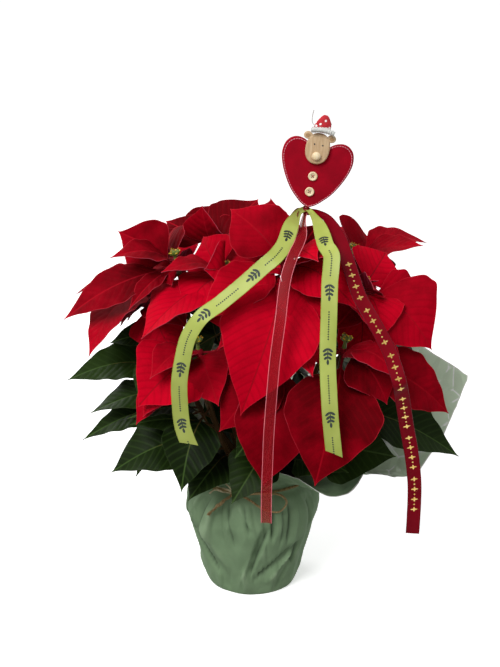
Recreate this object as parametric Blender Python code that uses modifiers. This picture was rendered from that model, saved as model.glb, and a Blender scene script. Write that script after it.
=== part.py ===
"""A potted red poinsettia: grower pot in a paper wrap tied with raffia, leafy stems topped by
bract heads, and a felt heart on a stick with four hanging ribbons. Metres, +Z up, front is -Y.
The origin is the middle of the wrap's flat base."""

import math

import bmesh
import bpy
from mathutils import Matrix, Vector
from mathutils.bvhtree import BVHTree

# Driving dimensions of the pot, its soil and its wrap
POT_HEIGHT = 0.1150
POT_BASE_RADIUS = 0.0455
POT_TOP_RADIUS = 0.0610
POT_RIM_RADIUS = 0.0640
POT_RIM_HEIGHT = 0.0120
POT_WALL = 0.0014
SOIL_LEVEL = 0.1030
PAPER = 0.0009
GAP = 0.0004
NECK_HEIGHT = 0.1330
NECK_RADIUS = 0.0605
RAFFIA_RADIUS = 0.0016
TIE_KNOT_ANGLE = math.radians(252)
TIE_KNOT_RADIUS = 0.0040

# Driving dimensions of the plant
TRUNK_RADIUS = 0.0075
TRUNK_TOP = 0.1700
TRUNK_ROOT = 0.0300
STEM_RADIUS = 0.0030
HUB_RADIUS = 0.0058
BLADE = 0.0008
ROOT_WIDTH = 0.0026
TIP_WIDTH = 0.0008
CLEAR = 0.0007
CYATHIUM_RADIUS = 0.0026
CLUSTER_RADIUS = 0.0036
NECK_RISE = 0.0085
NECK_THIN = 0.0020
CUP_HEIGHT = 2.4 * CYATHIUM_RADIUS
CUP_LIFT = 0.0012
CUP_LEAN = 0.35

# Driving dimensions of the pick, in its own upright plane
STICK_RADIUS = 0.0015
STICK_FOOT = Vector((-0.016, -0.022, 0.060))
PICK_POINT = Vector((0.057, -0.045, 0.452))
HEART_THICK = 0.0060
HEAD_SIDE = -0.0024
HEAD_MIDDLE = 0.0637
HEAD_SIZE = (0.0124, 0.0160)
HEAD_THICK = 0.0040
EAR_SIZE = (0.0046, 0.0040)
EAR_PLACE = (0.0120, 0.0120)
NOSE_RADIUS = 0.0046
NOSE_HEIGHT = 0.0040
NOSE_DROP = 0.0075
BUTTON_RADIUS = 0.0048
BUTTON_THICK = 0.0020
BUTTON_SIDE = -0.0014
BUTTON_HEIGHTS = (0.0180, 0.0345)
BUTTON_HOLE = 0.0007
BUTTON_HOLE_AWAY = 0.0011
BRIM_RADIUS = 0.0030
BRIM_MIDDLE = -0.0012
BRIM_REACH = 0.0120
BRIM_RISE = 0.0184
BRIM_ARCH = 0.0020
HAT_MIDDLE = -0.0027
HAT_LEAN = 0.10
STICK_ABOVE = 0.030
RIBBON_THICK = 0.0007
KNOT_RADIUS = 0.0056
KNOT_DROP = 0.0045
STICK_BACK = HEART_THICK / 2 + GAP + STICK_RADIUS

# The heart's right side in the pick's plane, from its point up to the notch
HEART_SIDE = (
    (0, 0), (0.0065, 0.0032), (0.0130, 0.0084), (0.0223, 0.0185), (0.0303, 0.0320), (0.0352, 0.0440),
    (0.0370, 0.0540), (0.0353, 0.0635), (0.0300, 0.0696), (0.0230, 0.0716), (0.0150, 0.0694),
    (0.0080, 0.0638), (0.0030, 0.0575), (0, 0.0540),
)
# The hat's rings: height, half width and half depth
HAT_RINGS = (
    (0.0, 0.0080, 0.0030), (0.006, 0.0084, 0.0034), (0.013, 0.0058, 0.0028), (0.0175, 0.0026, 0.0018),
)
# The hat's thread, as steps from where it leaves the hat's left side
HAT_THREAD = ((0, 0, 0), (-0.0035, 0, 0.003), (-0.0050, 0, 0.009), (-0.0048, 0, 0.016))
HAT_THREAD_RADIUS = 0.0006
# The raffia's tail and loop, as steps from its knot
TIE_TAIL = ((0, 0, 0), (-0.010, -0.004, -0.006), (-0.0200, -0.0045, -0.0150), (-0.0290, -0.0040, -0.0240))
TIE_LOOP = (
    (0, 0, 0), (0.016, -0.0075, -0.004), (0.032, -0.0120, -0.013), (0.049, -0.0110, -0.017),
    (0.058, -0.0070, -0.008), (0.050, -0.0070, 0.002), (0.030, -0.0080, 0.004), (0.003, -0.0020, 0.001),
)

UP = Vector((0, 0, 1))
FRONT = Vector((0, -1, 0))
GOLDEN_ANGLE = math.radians(137.5)

# The wrap's top edge, counter-clockwise from +X: angle in degrees, radius, height
WRAP_EDGE = (
    (0, 0.218, 0.170), (13, 0.264, 0.226), (24, 0.214, 0.262), (48, 0.150, 0.232), (75, 0.138, 0.205),
    (104, 0.186, 0.228), (132, 0.132, 0.196), (162, 0.104, 0.170), (192, 0.122, 0.178), (222, 0.080, 0.160),
    (250, 0.073, 0.153), (274, 0.073, 0.148), (287, 0.082, 0.164), (296, 0.112, 0.166), (303, 0.146, 0.158),
    (315, 0.158, 0.168), (327, 0.158, 0.196), (335, 0.134, 0.158), (347, 0.168, 0.142), (354, 0.192, 0.143),
)

# The wrap's side, from its base up to the neck: height, radius and share of the full pleats
WRAP_SIDE = (
    (0.0, 0.0495, 0.0), (0.004, 0.0535, 0.3), (0.045, 0.0635, 0.7), (0.082, 0.0735, 1.0),
    (0.104, 0.0745, 1.0), (0.120, 0.0680, 1.0), (NECK_HEIGHT - 0.0045, NECK_RADIUS, 1.0),
    (NECK_HEIGHT + 0.0045, NECK_RADIUS, 1.0),
)
# Where the collar's rings lie between the neck and the top edge
COLLAR = (0.34, 0.68, 1.0)

# A blade's outline: place along it, from root to tip, and its share of the full half width
BRACT_OUTLINE = ((0, 0), (0.13, 0), (0.30, 0.72), (0.50, 1.0), (0.78, 0.56), (1, 0))
LEAF_OUTLINE = ((0, 0), (0.22, 0), (0.37, 0.74), (0.56, 1.0), (0.80, 0.52), (1, 0))
BACK_OUTLINE = ((0, 0), (0.16, 0), (0.36, 0.84), (0.62, 0.88), (1, 0))

# Each head: its middle, then the bracts that are placed one by one as
# (tip, width, arch as a share of the length, how far the face turns to the front),
# then how many more are set around it by rule, their length, and the pitch of the first in degrees
HEADS = {
    "centre": ((0.036, -0.062, 0.394), (
        ((-0.053, -0.142, 0.355), 0.054, 0.10, 0.2),
        ((-0.034, -0.152, 0.337), 0.054, 0.10, 0.2),
        ((0.070, -0.128, 0.420), 0.062, 0.06, 0.4),
        ((0.104, -0.126, 0.366), 0.068, 0.22, 0.9),
        ((-0.012, -0.150, 0.262), 0.100, 0.26, 1.2),
        ((0.074, -0.136, 0.322), 0.062, 0.22, 0.9),
        ((0.044, 0.014, 0.450), 0.062, 0.05, 1.2),
        ((-0.022, -0.014, 0.436), 0.070, 0.14, 1.0),
    ), 1, 0.085, 24),
    "lower_centre": ((0.034, -0.094, 0.316), (
        ((0.013, -0.160, 0.186), 0.080, 0.20, 1.2),
        ((-0.034, -0.130, 0.236), 0.064, 0.16, 0.6),
    ), 3, 0.075, -6),
    "lower_right": ((0.094, -0.098, 0.312), (
        ((0.063, -0.166, 0.192), 0.100, 0.22, 1.2),
        ((0.137, -0.130, 0.266), 0.070, 0.24, 0.9),
        ((0.209, -0.082, 0.237), 0.062, 0.14, 1.0),
        ((0.128, -0.134, 0.312), 0.040, 0.20, 0.5),
    ), 1, 0.085, 4),
    "right": ((0.114, -0.052, 0.362), (
        ((0.186, -0.092, 0.312), 0.094, 0.22, 1.3),
        ((0.192, -0.008, 0.332), 0.060, 0.18, 0.6),
        ((0.126, -0.118, 0.322), 0.060, 0.20, 0.9),
        ((0.152, 0.000, 0.392), 0.070, 0.10, 1.0),
        ((0.098, -0.020, 0.290), 0.066, 0.20, 1.4),
    ), 0, 0.090, 12),
    "lower_left": ((-0.056, -0.078, 0.304), (
        ((-0.117, -0.126, 0.262), 0.086, 0.22, 1.2),
        ((-0.113, -0.120, 0.248), 0.062, 0.14, 0.4),
        ((-0.121, -0.112, 0.236), 0.050, 0.12, 0.2),
        ((-0.034, -0.140, 0.268), 0.064, 0.20, 0.9),
    ), 2, 0.080, -4),
    "upper_left": ((-0.080, -0.026, 0.384), (
        ((-0.144, -0.012, 0.419), 0.064, 0.08, 1.4),
        ((-0.201, -0.052, 0.332), 0.052, 0.14, 1.0),
        ((-0.128, -0.082, 0.352), 0.026, 0.10, 0.4),
        ((-0.084, -0.062, 0.372), 0.036, 0.20, 0.4),
        ((-0.088, 0.040, 0.410), 0.052, 0.12, 0.8),
    ), 1, 0.080, 14),
    "left": ((-0.104, 0.012, 0.342), (
        ((-0.173, -0.072, 0.297), 0.064, 0.22, 0.9),
        ((-0.176, 0.050, 0.300), 0.072, 0.18, 0.2),
        ((-0.136, 0.110, 0.318), 0.076, 0.18, 0.0),
        ((-0.078, -0.034, 0.286), 0.070, 0.20, 1.2),
    ), 2, 0.095, -2),
    "middle_left": ((-0.028, -0.034, 0.374), (
        ((-0.117, -0.112, 0.352), 0.080, 0.12, 0.1),
        ((-0.066, -0.066, 0.394), 0.062, 0.18, 0.8),
        ((-0.050, -0.100, 0.390), 0.062, 0.16, 0.5),
        ((-0.060, -0.010, 0.418), 0.064, 0.10, 1.2),
        ((-0.004, -0.076, 0.316), 0.060, 0.20, 1.2),
    ), 1, 0.080, 12),
    "top": ((-0.042, 0.040, 0.388), (
        ((-0.055, 0.022, 0.440), 0.060, 0.10, 1.6),
        ((-0.028, 0.092, 0.434), 0.086, 0.12, 1.4),
        ((0.008, 0.080, 0.432), 0.086, 0.12, 1.6),
        ((-0.098, 0.078, 0.404), 0.060, 0.10, 0.8),
        ((-0.014, 0.030, 0.428), 0.060, 0.10, 1.2),
        ((-0.026, 0.000, 0.314), 0.084, 0.22, 1.4),
    ), 2, 0.100, 4),
    "top_right": ((0.112, 0.048, 0.372), (
        ((0.186, 0.014, 0.402), 0.062, 0.06, 0.8),
        ((0.142, 0.088, 0.404), 0.090, 0.10, 1.2),
        ((0.080, 0.098, 0.408), 0.078, 0.12, 1.2),
        ((0.078, 0.014, 0.312), 0.084, 0.20, 1.4),
    ), 2, 0.100, 6),
    "back_left": ((-0.066, 0.112, 0.332), (), 6, 0.112, 10),
    "back_right": ((0.078, 0.116, 0.322), (), 6, 0.112, 6),
}

# Each leaf that is placed one by one: its stem, how far up the stem its stalk leaves it,
# then as a bract
LEAVES = (
    ("left", 0.62, (-0.205, -0.020, 0.252), 0.060, 0.14, 0.5),
    ("left", 0.74, (-0.126, -0.070, 0.262), 0.050, 0.20, 1.0),
    ("lower_left", 0.55, (-0.130, -0.092, 0.228), 0.030, 0.14, 0.6),
    ("left", 0.50, (-0.178, -0.044, 0.222), 0.058, 0.12, 0.6),
    ("left", 0.42, (-0.190, -0.030, 0.184), 0.044, 0.16, 0.6),
    ("lower_left", 0.46, (-0.152, -0.086, 0.170), 0.074, 0.16, 0.8),
    ("lower_left", 0.62, (-0.132, -0.106, 0.212), 0.040, 0.14, -0.2),
    ("lower_left", 0.36, (-0.104, -0.060, 0.168), 0.050, 0.18, 0.8),
    ("lower_left", 0.70, (-0.074, -0.134, 0.170), 0.062, 0.20, 1.2),
    ("lower_left", 0.30, (-0.068, -0.114, 0.150), 0.066, 0.24, 1.2),
    ("lower_centre", 0.62, (-0.018, -0.134, 0.208), 0.052, 0.18, 1.2),
    ("lower_centre", 0.40, (-0.022, -0.122, 0.150), 0.058, 0.20, 1.2),
    ("right", 0.50, (0.230, -0.044, 0.170), 0.074, 0.12, 0.9),
    ("lower_right", 0.50, (0.151, -0.112, 0.200), 0.082, 0.14, 1.1),
    ("lower_right", 0.34, (0.100, -0.130, 0.190), 0.060, 0.16, 1.2),
)
# Leaves set around each stem by rule: how many, and their length
RULED_LEAVES = {
    "back_left": (4, 0.125), "back_right": (4, 0.125), "top_right": (3, 0.115), "top": (3, 0.105),
    "right": (3, 0.115), "lower_right": (2, 0.100), "left": (3, 0.110), "upper_left": (3, 0.100),
    "lower_centre": (2, 0.090), "centre": (3, 0.090), "middle_left": (3, 0.090),
}
# Bracts whose tips lie further to the front than this have the drawn-out outline
FRONT_TIPS = -0.03
LEAF_FROM = 0.40
LEAF_TO = 0.78

# Ribbons: how far above the knot's middle each leaves it, its route down as hand-chosen points,
# then its width and colour
RIBBONS = {
    "ribbon_burgundy_short": (0.0004, (
        (0.0430, -0.0465, 0.4478), (0.0370, -0.0540, 0.4330), (0.0335, -0.0700, 0.4150),
        (0.0350, -0.0880, 0.3980),
    ), 0.0120, (0.30, 0.01, 0.03)),
    "ribbon_burgundy": (-0.0006, (
        (0.0760, -0.0580, 0.4450), (0.0870, -0.0780, 0.4310), (0.0960, -0.1000, 0.4080),
        (0.1060, -0.1220, 0.3800), (0.1180, -0.1360, 0.3600), (0.1340, -0.1460, 0.3320),
        (0.1440, -0.1480, 0.3030), (0.1500, -0.1460, 0.2770), (0.1560, -0.1420, 0.2480),
        (0.1630, -0.1380, 0.2150), (0.1680, -0.1340, 0.1790), (0.1690, -0.1320, 0.1430),
        (0.1690, -0.1320, 0.1210),
    ), 0.0140, (0.30, 0.01, 0.03)),
    "ribbon_lime_left": (0.0020, (
        (0.0400, -0.0720, 0.4460), (0.0310, -0.0980, 0.4310), (0.0120, -0.1250, 0.4150),
        (-0.0100, -0.1440, 0.3970), (-0.0330, -0.1560, 0.3800), (-0.0490, -0.1640, 0.3700),
        (-0.0620, -0.1640, 0.3500), (-0.0680, -0.1620, 0.3270), (-0.0720, -0.1600, 0.3020),
        (-0.0720, -0.1560, 0.2780), (-0.0700, -0.1540, 0.2530), (-0.0640, -0.1540, 0.2330),
    ), 0.0155, (0.62, 0.74, 0.22)),
    "ribbon_lime_right": (0.0020, (
        (0.0670, -0.0720, 0.4430), (0.0720, -0.1020, 0.4300), (0.0770, -0.1280, 0.4230),
        (0.0750, -0.1460, 0.4010), (0.0740, -0.1580, 0.3650), (0.0730, -0.1680, 0.3290),
        (0.0740, -0.1800, 0.3000), (0.0760, -0.1850, 0.2710), (0.0800, -0.1860, 0.2360),
    ), 0.0155, (0.62, 0.74, 0.22)),
    "ribbon_organza": (-0.0025, (
        (0.0490, -0.0780, 0.4360), (0.0410, -0.1000, 0.4260), (0.0340, -0.1260, 0.4100),
        (0.0300, -0.1520, 0.3930), (0.0270, -0.1690, 0.3700), (0.0220, -0.1760, 0.3330),
        (0.0190, -0.1820, 0.3010), (0.0160, -0.1840, 0.2560), (0.0150, -0.1820, 0.2240),
        (0.0140, -0.1800, 0.1910), (0.0140, -0.1800, 0.1580),
    ), 0.0100, (0.62, 0.03, 0.07)),
}
RIBBON_GAP = 0.0035
RIBBON_STEP = 0.0015
# How wide a ribbon is where it leaves the knot, and how much more at each step, up to 1
RIBBON_PINCH, RIBBON_SPREAD = 0.28, 0.24

# The ways in which a blade may be bent, in degrees, pitch then yaw, the smallest first
TURNS = sorted(((p, y) for p in range(-32, 33, 4) for y in range(-30, 31, 6)),
               key=lambda t: (abs(t[0]) + abs(t[1]), t))
# Where along a blade its stalk ends
LOOSE_FROM = 0.3


def clear_scene():
    for obj in list(bpy.data.objects):
        bpy.data.objects.remove(obj, do_unlink=True)


def collection(name):
    made = bpy.data.collections.new(name)
    bpy.context.scene.collection.children.link(made)
    return made


def material(name, colour, roughness, metallic=0.0):
    made = bpy.data.materials.get(name) or bpy.data.materials.new(name)
    made.use_nodes = True
    shader = made.node_tree.nodes["Principled BSDF"]
    shader.inputs["Base Color"].default_value = (*colour, 1)
    shader.inputs["Roughness"].default_value = roughness
    shader.inputs["Metallic"].default_value = metallic
    made.diffuse_color = (*colour, 1)
    return made


def link(name, mesh, into, finish=None):
    obj = bpy.data.objects.new(name, mesh)
    into.objects.link(obj)
    if finish:
        mesh.materials.clear()
        mesh.materials.append(finish)
    return obj


def mesh_of(name, points, faces):
    mesh = bpy.data.meshes.new(name)
    mesh.from_pydata([tuple(p) for p in points], [], faces)
    mesh.update()
    return mesh


def meshed(obj):
    """A curve or modified object as a plain closed mesh object of the same name and place."""
    graph = bpy.context.evaluated_depsgraph_get()
    graph.update()
    mesh = bpy.data.meshes.new_from_object(obj.evaluated_get(graph))
    name, world, into = obj.name, obj.matrix_world.copy(), obj.users_collection[0]
    finish = obj.active_material
    bpy.data.objects.remove(obj, do_unlink=True)
    bm = bmesh.new()
    bm.from_mesh(mesh)
    bmesh.ops.remove_doubles(bm, verts=bm.verts, dist=0.00001)
    bmesh.ops.triangulate(bm, faces=bm.faces)
    bm.to_mesh(mesh)
    bm.free()
    made = link(name, mesh, into, finish)
    made.matrix_world = world
    return made


def union(name, pieces, into, finish, solver="EXACT"):
    """One solid from overlapping pieces: the first takes a Boolean union with a collection of the rest."""
    first, others = pieces[0], pieces[1:]
    if others:
        repeats = collection(name + "_repeats")
        for piece in others:
            for owner in list(piece.users_collection):
                owner.objects.unlink(piece)
            repeats.objects.link(piece)
        joint = first.modifiers.new("union", "BOOLEAN")
        joint.operation = "UNION"
        joint.operand_type = "COLLECTION"
        joint.collection = repeats
        joint.solver = solver
        if solver == "EXACT":
            joint.use_self = True
    joined = meshed(first)
    joined.name = name
    joined.data.name = name
    for piece in others:
        bpy.data.objects.remove(piece, do_unlink=True)
    if others:
        bpy.data.collections.remove(repeats)
    for owner in list(joined.users_collection):
        owner.objects.unlink(joined)
    into.objects.link(joined)
    joined.data.materials.clear()
    joined.data.materials.append(finish)
    return joined


def smooth_route(points, steps, closed=False):
    """Points on a smooth curve through the given ones, with this many steps between each two."""
    points = [Vector(p) for p in points]
    count = len(points)
    spans = count if closed else count - 1
    route = []
    for i in range(spans):
        near = [i + k for k in (-1, 0, 1, 2)]
        at = [points[k % count if closed else min(max(k, 0), count - 1)] for k in near]
        for step in range(steps):
            t = step / steps
            route.append(0.5 * (2 * at[1] + (at[2] - at[0]) * t
                                + (2 * at[0] - 5 * at[1] + 4 * at[2] - at[3]) * t * t
                                + (3 * at[1] - at[0] - 3 * at[2] + at[3]) * t ** 3))
    return route if closed else route + [points[-1]]


def tube(name, route, radius, into, finish, sides=1, closed=False, taper=None):
    """A round tube along a route; bevel resolution 1 is six sides, 2 is eight."""
    curve = bpy.data.curves.new(name, "CURVE")
    curve.dimensions = "3D"
    curve.bevel_depth = radius
    curve.bevel_resolution = sides
    curve.use_fill_caps = not closed
    spline = curve.splines.new("POLY")
    spline.points.add(len(route) - 1)
    for i, (point, place) in enumerate(zip(spline.points, route)):
        point.co = (*place, 1)
        point.radius = taper(i / (len(route) - 1)) if taper else 1
    spline.use_cyclic_u = closed
    curve.materials.append(finish)
    obj = bpy.data.objects.new(name, curve)
    into.objects.link(obj)
    return obj


def shell(rows, thickness):
    """Points and faces of a closed thin sheet whose middle surface is this grid of points.
    Each four-sided patch is split along the same diagonal on both faces."""
    long, wide = len(rows), len(rows[0])
    points = []
    for side in (0.5, -0.5):
        for i in range(long):
            for j in range(wide):
                along = rows[min(i + 1, long - 1)][j] - rows[max(i - 1, 0)][j]
                across = rows[i][min(j + 1, wide - 1)] - rows[i][max(j - 1, 0)]
                points.append(rows[i][j] + along.cross(across).normalized() * thickness[i] * side)
    under = long * wide
    faces = []
    for i in range(long - 1):
        for j in range(wide - 1):
            a, b, c, d = i * wide + j, i * wide + j + 1, (i + 1) * wide + j + 1, (i + 1) * wide + j
            faces += [(a, c, b), (a, d, c)]
            faces += [(a + under, b + under, c + under), (a + under, c + under, d + under)]
    edge = [j for j in range(wide)] + [i * wide + wide - 1 for i in range(1, long)]
    edge += [(long - 1) * wide + j for j in range(wide - 2, -1, -1)]
    edge += [i * wide for i in range(long - 2, 0, -1)]
    for a, b in zip(edge, edge[1:] + edge[:1]):
        faces += [(a, b, b + under), (a, b + under, a + under)]
    return points, faces


def blade_rows(base, tip, width, arch, face, outline, number, turn=(0, 0), columns=(-1, 0, 1)):
    """The middle surface of a bract or leaf: rows of points from its root to its tip.
    The number of the blade sets its wave, fold and sway, so that no two are alike."""
    base, tip = Vector(base), Vector(tip)
    chord = tip - base
    length = chord.length
    out = Vector((base.x + tip.x, base.y + tip.y, 0)).normalized()
    hint = UP + 0.8 * out + face * FRONT
    along = chord / length
    side = along.cross(hint).normalized()
    swing = Matrix.Rotation(math.radians(turn[0]), 3, side) @ Matrix.Rotation(math.radians(turn[1]), 3, "Z")
    along, side = swing @ along, swing @ side
    normal = side.cross(along)
    fold = 0.14 + 0.10 * math.sin(1.7 * number)
    sway = 0.035 * length * math.sin(2.4 * number)
    wave = 0.030 * width
    twist = math.radians(14) * math.sin(3.1 * number)
    rows = []
    for u, share in outline:
        middle = base + along * length * u + normal * arch * length * math.sin(math.pi * u)
        middle += side * sway * math.sin(math.pi * u)
        half = max(share * width, ROOT_WIDTH if u < 0.5 else TIP_WIDTH) / 2
        turned = Matrix.Rotation(twist * u, 3, along)
        row = []
        for q in columns:
            lift = fold * half * abs(q) + wave * share * abs(q) * math.sin(9.4 * u + number + 1.3 * q)
            row.append(middle + turned @ (side * half * q + normal * lift))
        rows.append(row)
    return rows


def blade_thickness(outline):
    """Thick stalk, thin blade."""
    return [3.0 * BLADE if share == 0 and u < 0.5 else BLADE for u, share in outline]


def blade_solid(rows, outline, extra=0.0):
    """The whole blade, thicker by the extra, as points and faces."""
    return shell(rows, [t + extra for t in blade_thickness(outline)])


class Placed:
    """What is already in place, so that each new blade is bent clear of it."""

    def __init__(self):
        self.things = []

    def add(self, node, points, faces):
        tree = BVHTree.FromPolygons([tuple(p) for p in points], faces)
        low = Vector([min(p[k] for p in points) for k in range(3)])
        high = Vector([max(p[k] for p in points) for k in range(3)])
        self.things.append((node, tree, low, high))

    def add_object(self, obj, node=None):
        mesh = obj.data
        points = [obj.matrix_world @ v.co for v in mesh.vertices]
        self.add(node or obj.name, points, [tuple(p.vertices) for p in mesh.polygons])

    def hits(self, points, faces, skip):
        low = [min(p[k] for p in points) for k in range(3)]
        high = [max(p[k] for p in points) for k in range(3)]
        tree = None
        for node, other, other_low, other_high in self.things:
            if node in skip or any(low[k] > other_high[k] or high[k] < other_low[k] for k in range(3)):
                continue
            tree = tree or BVHTree.FromPolygons([tuple(p) for p in points], faces)
            if tree.overlap(other):
                return node
        return None

    def front_of(self, x, z):
        """How far to the front (lowest y) anything reaches at this place, or None."""
        found = []
        for _, tree, _, _ in self.things:
            hit = tree.ray_cast(Vector((x, -1, z)), -FRONT)[0]
            if hit:
                found.append(hit.y)
        return min(found) if found else None


def outer_shell(rows, outline, extra):
    """The blade past its stalk, thicker by the extra, as points and faces."""
    outer = [row for row, (u, _) in zip(rows, outline) if u > LOOSE_FROM]
    return shell(outer, [BLADE + extra] * len(outer))


def place_blade(placed, node, spec, outline, number, must):
    """Bends a blade by the smallest turn that keeps it clear of every other node, and of
    its own node's blades past the stalk where it can. Returns its rows, or None."""
    crossing = None
    others = {n for n, *_ in placed.things} - {node + "_outer"}
    for turn in TURNS:
        rows = blade_rows(*spec, outline, number, turn)
        if placed.hits(*blade_solid(rows, outline, CLEAR), {node, node + "_outer"}):
            continue
        if not placed.hits(*outer_shell(rows, outline, CLEAR), others):
            break
        crossing = crossing or rows
    else:
        rows = crossing if must else None
    if rows is None:
        return None
    placed.add(node, *blade_solid(rows, outline))
    placed.add(node + "_outer", *outer_shell(rows, outline, 0))
    return rows


def build_pot(into):
    """The grower's plastic pot, turned: down the outside, under, and up the inside."""
    lift = PAPER + GAP
    rim_foot = POT_HEIGHT - POT_RIM_HEIGHT
    outline = [
        (POT_RIM_RADIUS, POT_HEIGHT), (POT_RIM_RADIUS, rim_foot), (POT_TOP_RADIUS, rim_foot),
        (POT_BASE_RADIUS, 0), (0, 0), (0, 2 * POT_WALL),
        (POT_BASE_RADIUS - POT_WALL, 2 * POT_WALL), (POT_TOP_RADIUS - POT_WALL, rim_foot + POT_WALL),
        (POT_RIM_RADIUS - POT_WALL, rim_foot + 2 * POT_WALL), (POT_RIM_RADIUS - POT_WALL, POT_HEIGHT),
    ]
    plastic = material("pot plastic", (0.10, 0.055, 0.035), 0.5)
    pot = turned("grower_pot", outline, 20, into, plastic, flip=True)
    pot.location.z = lift
    return pot


def turned(name, outline, steps, into, finish, flip=False):
    """A turned solid from (radius, height) points that close on themselves or on the axis."""
    points = [(r, 0, z) for r, z in outline]
    on_axis = any(r == 0 for r, _ in outline)
    edges = [(i, i + 1) for i in range(len(points) - 1)]
    if not on_axis or (outline[0][0] and outline[-1][0]):
        edges.append((len(points) - 1, 0))
    edges = [e for e in edges if points[e[0]][0] or points[e[1]][0]]
    mesh = bpy.data.meshes.new(name)
    mesh.from_pydata(points, edges, [])
    obj = link(name, mesh, into, finish)
    screw = obj.modifiers.new("turn", "SCREW")
    screw.steps = screw.render_steps = steps
    screw.use_merge_vertices = True
    screw.merge_threshold = 0.00005
    screw.use_normal_calculate = True
    screw.use_normal_flip = flip
    return obj


def soil_radius(z):
    """The pot's inner radius at this height above the ground, less the gap."""
    share = (z - PAPER - GAP - 2 * POT_WALL) / (POT_HEIGHT - POT_RIM_HEIGHT - POT_WALL)
    return POT_BASE_RADIUS + (POT_TOP_RADIUS - POT_BASE_RADIUS) * share - POT_WALL - 2 * GAP


def build_soil(into, helpers):
    """Peat mix that fills the pot, with plain holes for the trunk and the stick."""
    foot = PAPER + GAP + 2 * POT_WALL + GAP
    finish = material("peat", (0.055, 0.034, 0.022), 0.95)
    top = SOIL_LEVEL
    outline = [
        (0, top + 0.0015), (0.030, top + 0.001), (soil_radius(top - 0.003), top - 0.002),
        (soil_radius(foot), foot), (0, foot),
    ]
    soil = turned("potting_soil", outline, 20, into, finish)
    soil = meshed(soil)
    trunk_hole = cylinder("trunk_hole", TRUNK_RADIUS + GAP, 2 * TRUNK_ROOT, 12, helpers)
    trunk_hole.location = (0, 0, SOIL_LEVEL)
    stick_hole = cylinder("stick_hole", STICK_RADIUS + 2 * GAP, 0.10, 8, helpers)
    foot_below = (PICK_POINT - STICK_FOOT).length - 0.049
    stick_hole.matrix_world = pick_frame() @ Matrix.Translation((0, STICK_BACK, -foot_below))
    for cutter in (trunk_hole, stick_hole):
        cutter.hide_render = True
        cutter.display_type = "WIRE"
        cut = soil.modifiers.new(cutter.name, "BOOLEAN")
        cut.operation = "DIFFERENCE"
        cut.object = cutter
    return soil


def cylinder(name, radius, height, sides, into, finish=None):
    bm = bmesh.new()
    bmesh.ops.create_cone(bm, cap_ends=True, segments=sides, radius1=radius, radius2=radius, depth=height)
    mesh = bpy.data.meshes.new(name)
    bm.to_mesh(mesh)
    bm.free()
    return link(name, mesh, into, finish)


def wrap_fold(angle, share):
    """Soft pleats of the wrapped side: none at the base, deepest near the tie."""
    pleats = math.sin(7 * angle + 0.6) + 0.6 * math.sin(11 * angle + 2.0) + 0.5 * math.sin(4 * angle)
    return 0.0014 * pleats * share


def wrap_edge(angle):
    """Radius and height of the wrap's top edge at this angle, through the named points."""
    degrees = math.degrees(angle) % 360
    count = len(WRAP_EDGE)
    for i in range(count):
        here, after = WRAP_EDGE[i], WRAP_EDGE[(i + 1) % count]
        end = after[0] + (360 if i == count - 1 else 0)
        if here[0] <= degrees <= end:
            before, beyond = WRAP_EDGE[i - 1], WRAP_EDGE[(i + 2) % count]
            t = (degrees - here[0]) / (end - here[0])
            return [0.5 * (2 * here[k] + (after[k] - before[k]) * t
                           + (2 * before[k] - 5 * here[k] + 4 * after[k] - beyond[k]) * t * t
                           + (3 * here[k] - before[k] - 3 * after[k] + beyond[k]) * t ** 3) for k in (1, 2)]


def wrap_point(angle, height, radius, share):
    r = radius + wrap_fold(angle, share)
    return Vector((r * math.cos(angle), r * math.sin(angle), height))


def collar_point(angle, share):
    """From the tied neck to the wrap's top edge: up first, then out, in one soft curve."""
    _, radius, folds = WRAP_SIDE[-1]
    neck = wrap_point(angle, NECK_HEIGHT + 0.0045 + PAPER / 2, radius, folds)
    r, z = wrap_edge(angle)
    edge = Vector((r * math.cos(angle), r * math.sin(angle), z))
    rise = Vector((neck.x, neck.y, 0)) * 1.08 + UP * (neck.z + 0.45 * max(z - neck.z, 0.016))
    a, b = neck.lerp(rise, share), rise.lerp(edge, share)
    return a.lerp(b, share)


def wrap_angles():
    """One angle at each named point of the top edge, and one between two that are far apart."""
    angles = []
    for here, after in zip(WRAP_EDGE, WRAP_EDGE[1:] + ((360,),)):
        angles.append(math.radians(here[0]))
        if after[0] - here[0] > 18:
            angles.append(math.radians((here[0] + after[0]) / 2))
    return angles


def build_wrap(into):
    """One sheet of paper: flat under the pot, up its side, tied in at the neck, then a loose collar."""
    angles = wrap_angles()
    around = len(angles)
    rings = [[wrap_point(a, PAPER / 2 + z, r, share) for a in angles] for z, r, share in WRAP_SIDE]
    rings += [[collar_point(a, share) for a in angles] for share in COLLAR]
    points = [Vector((0, 0, PAPER / 2))] + [p for ring in rings for p in ring]
    faces = [(0, 1 + (k + 1) % around, 1 + k) for k in range(around)]
    for i in range(len(rings) - 1):
        for k in range(around):
            a, b = 1 + i * around + k, 1 + i * around + (k + 1) % around
            faces += [(a, b, b + around), (a, b + around, a + around)]
    sage = material("sage paper", (0.22, 0.32, 0.20), 0.8)
    sheet = link("paper_wrap", mesh_of("paper_wrap", points, faces), into, sage)
    thick = sheet.modifiers.new("thick", "SOLIDIFY")
    thick.thickness = PAPER
    thick.offset = 0
    return sheet


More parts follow.
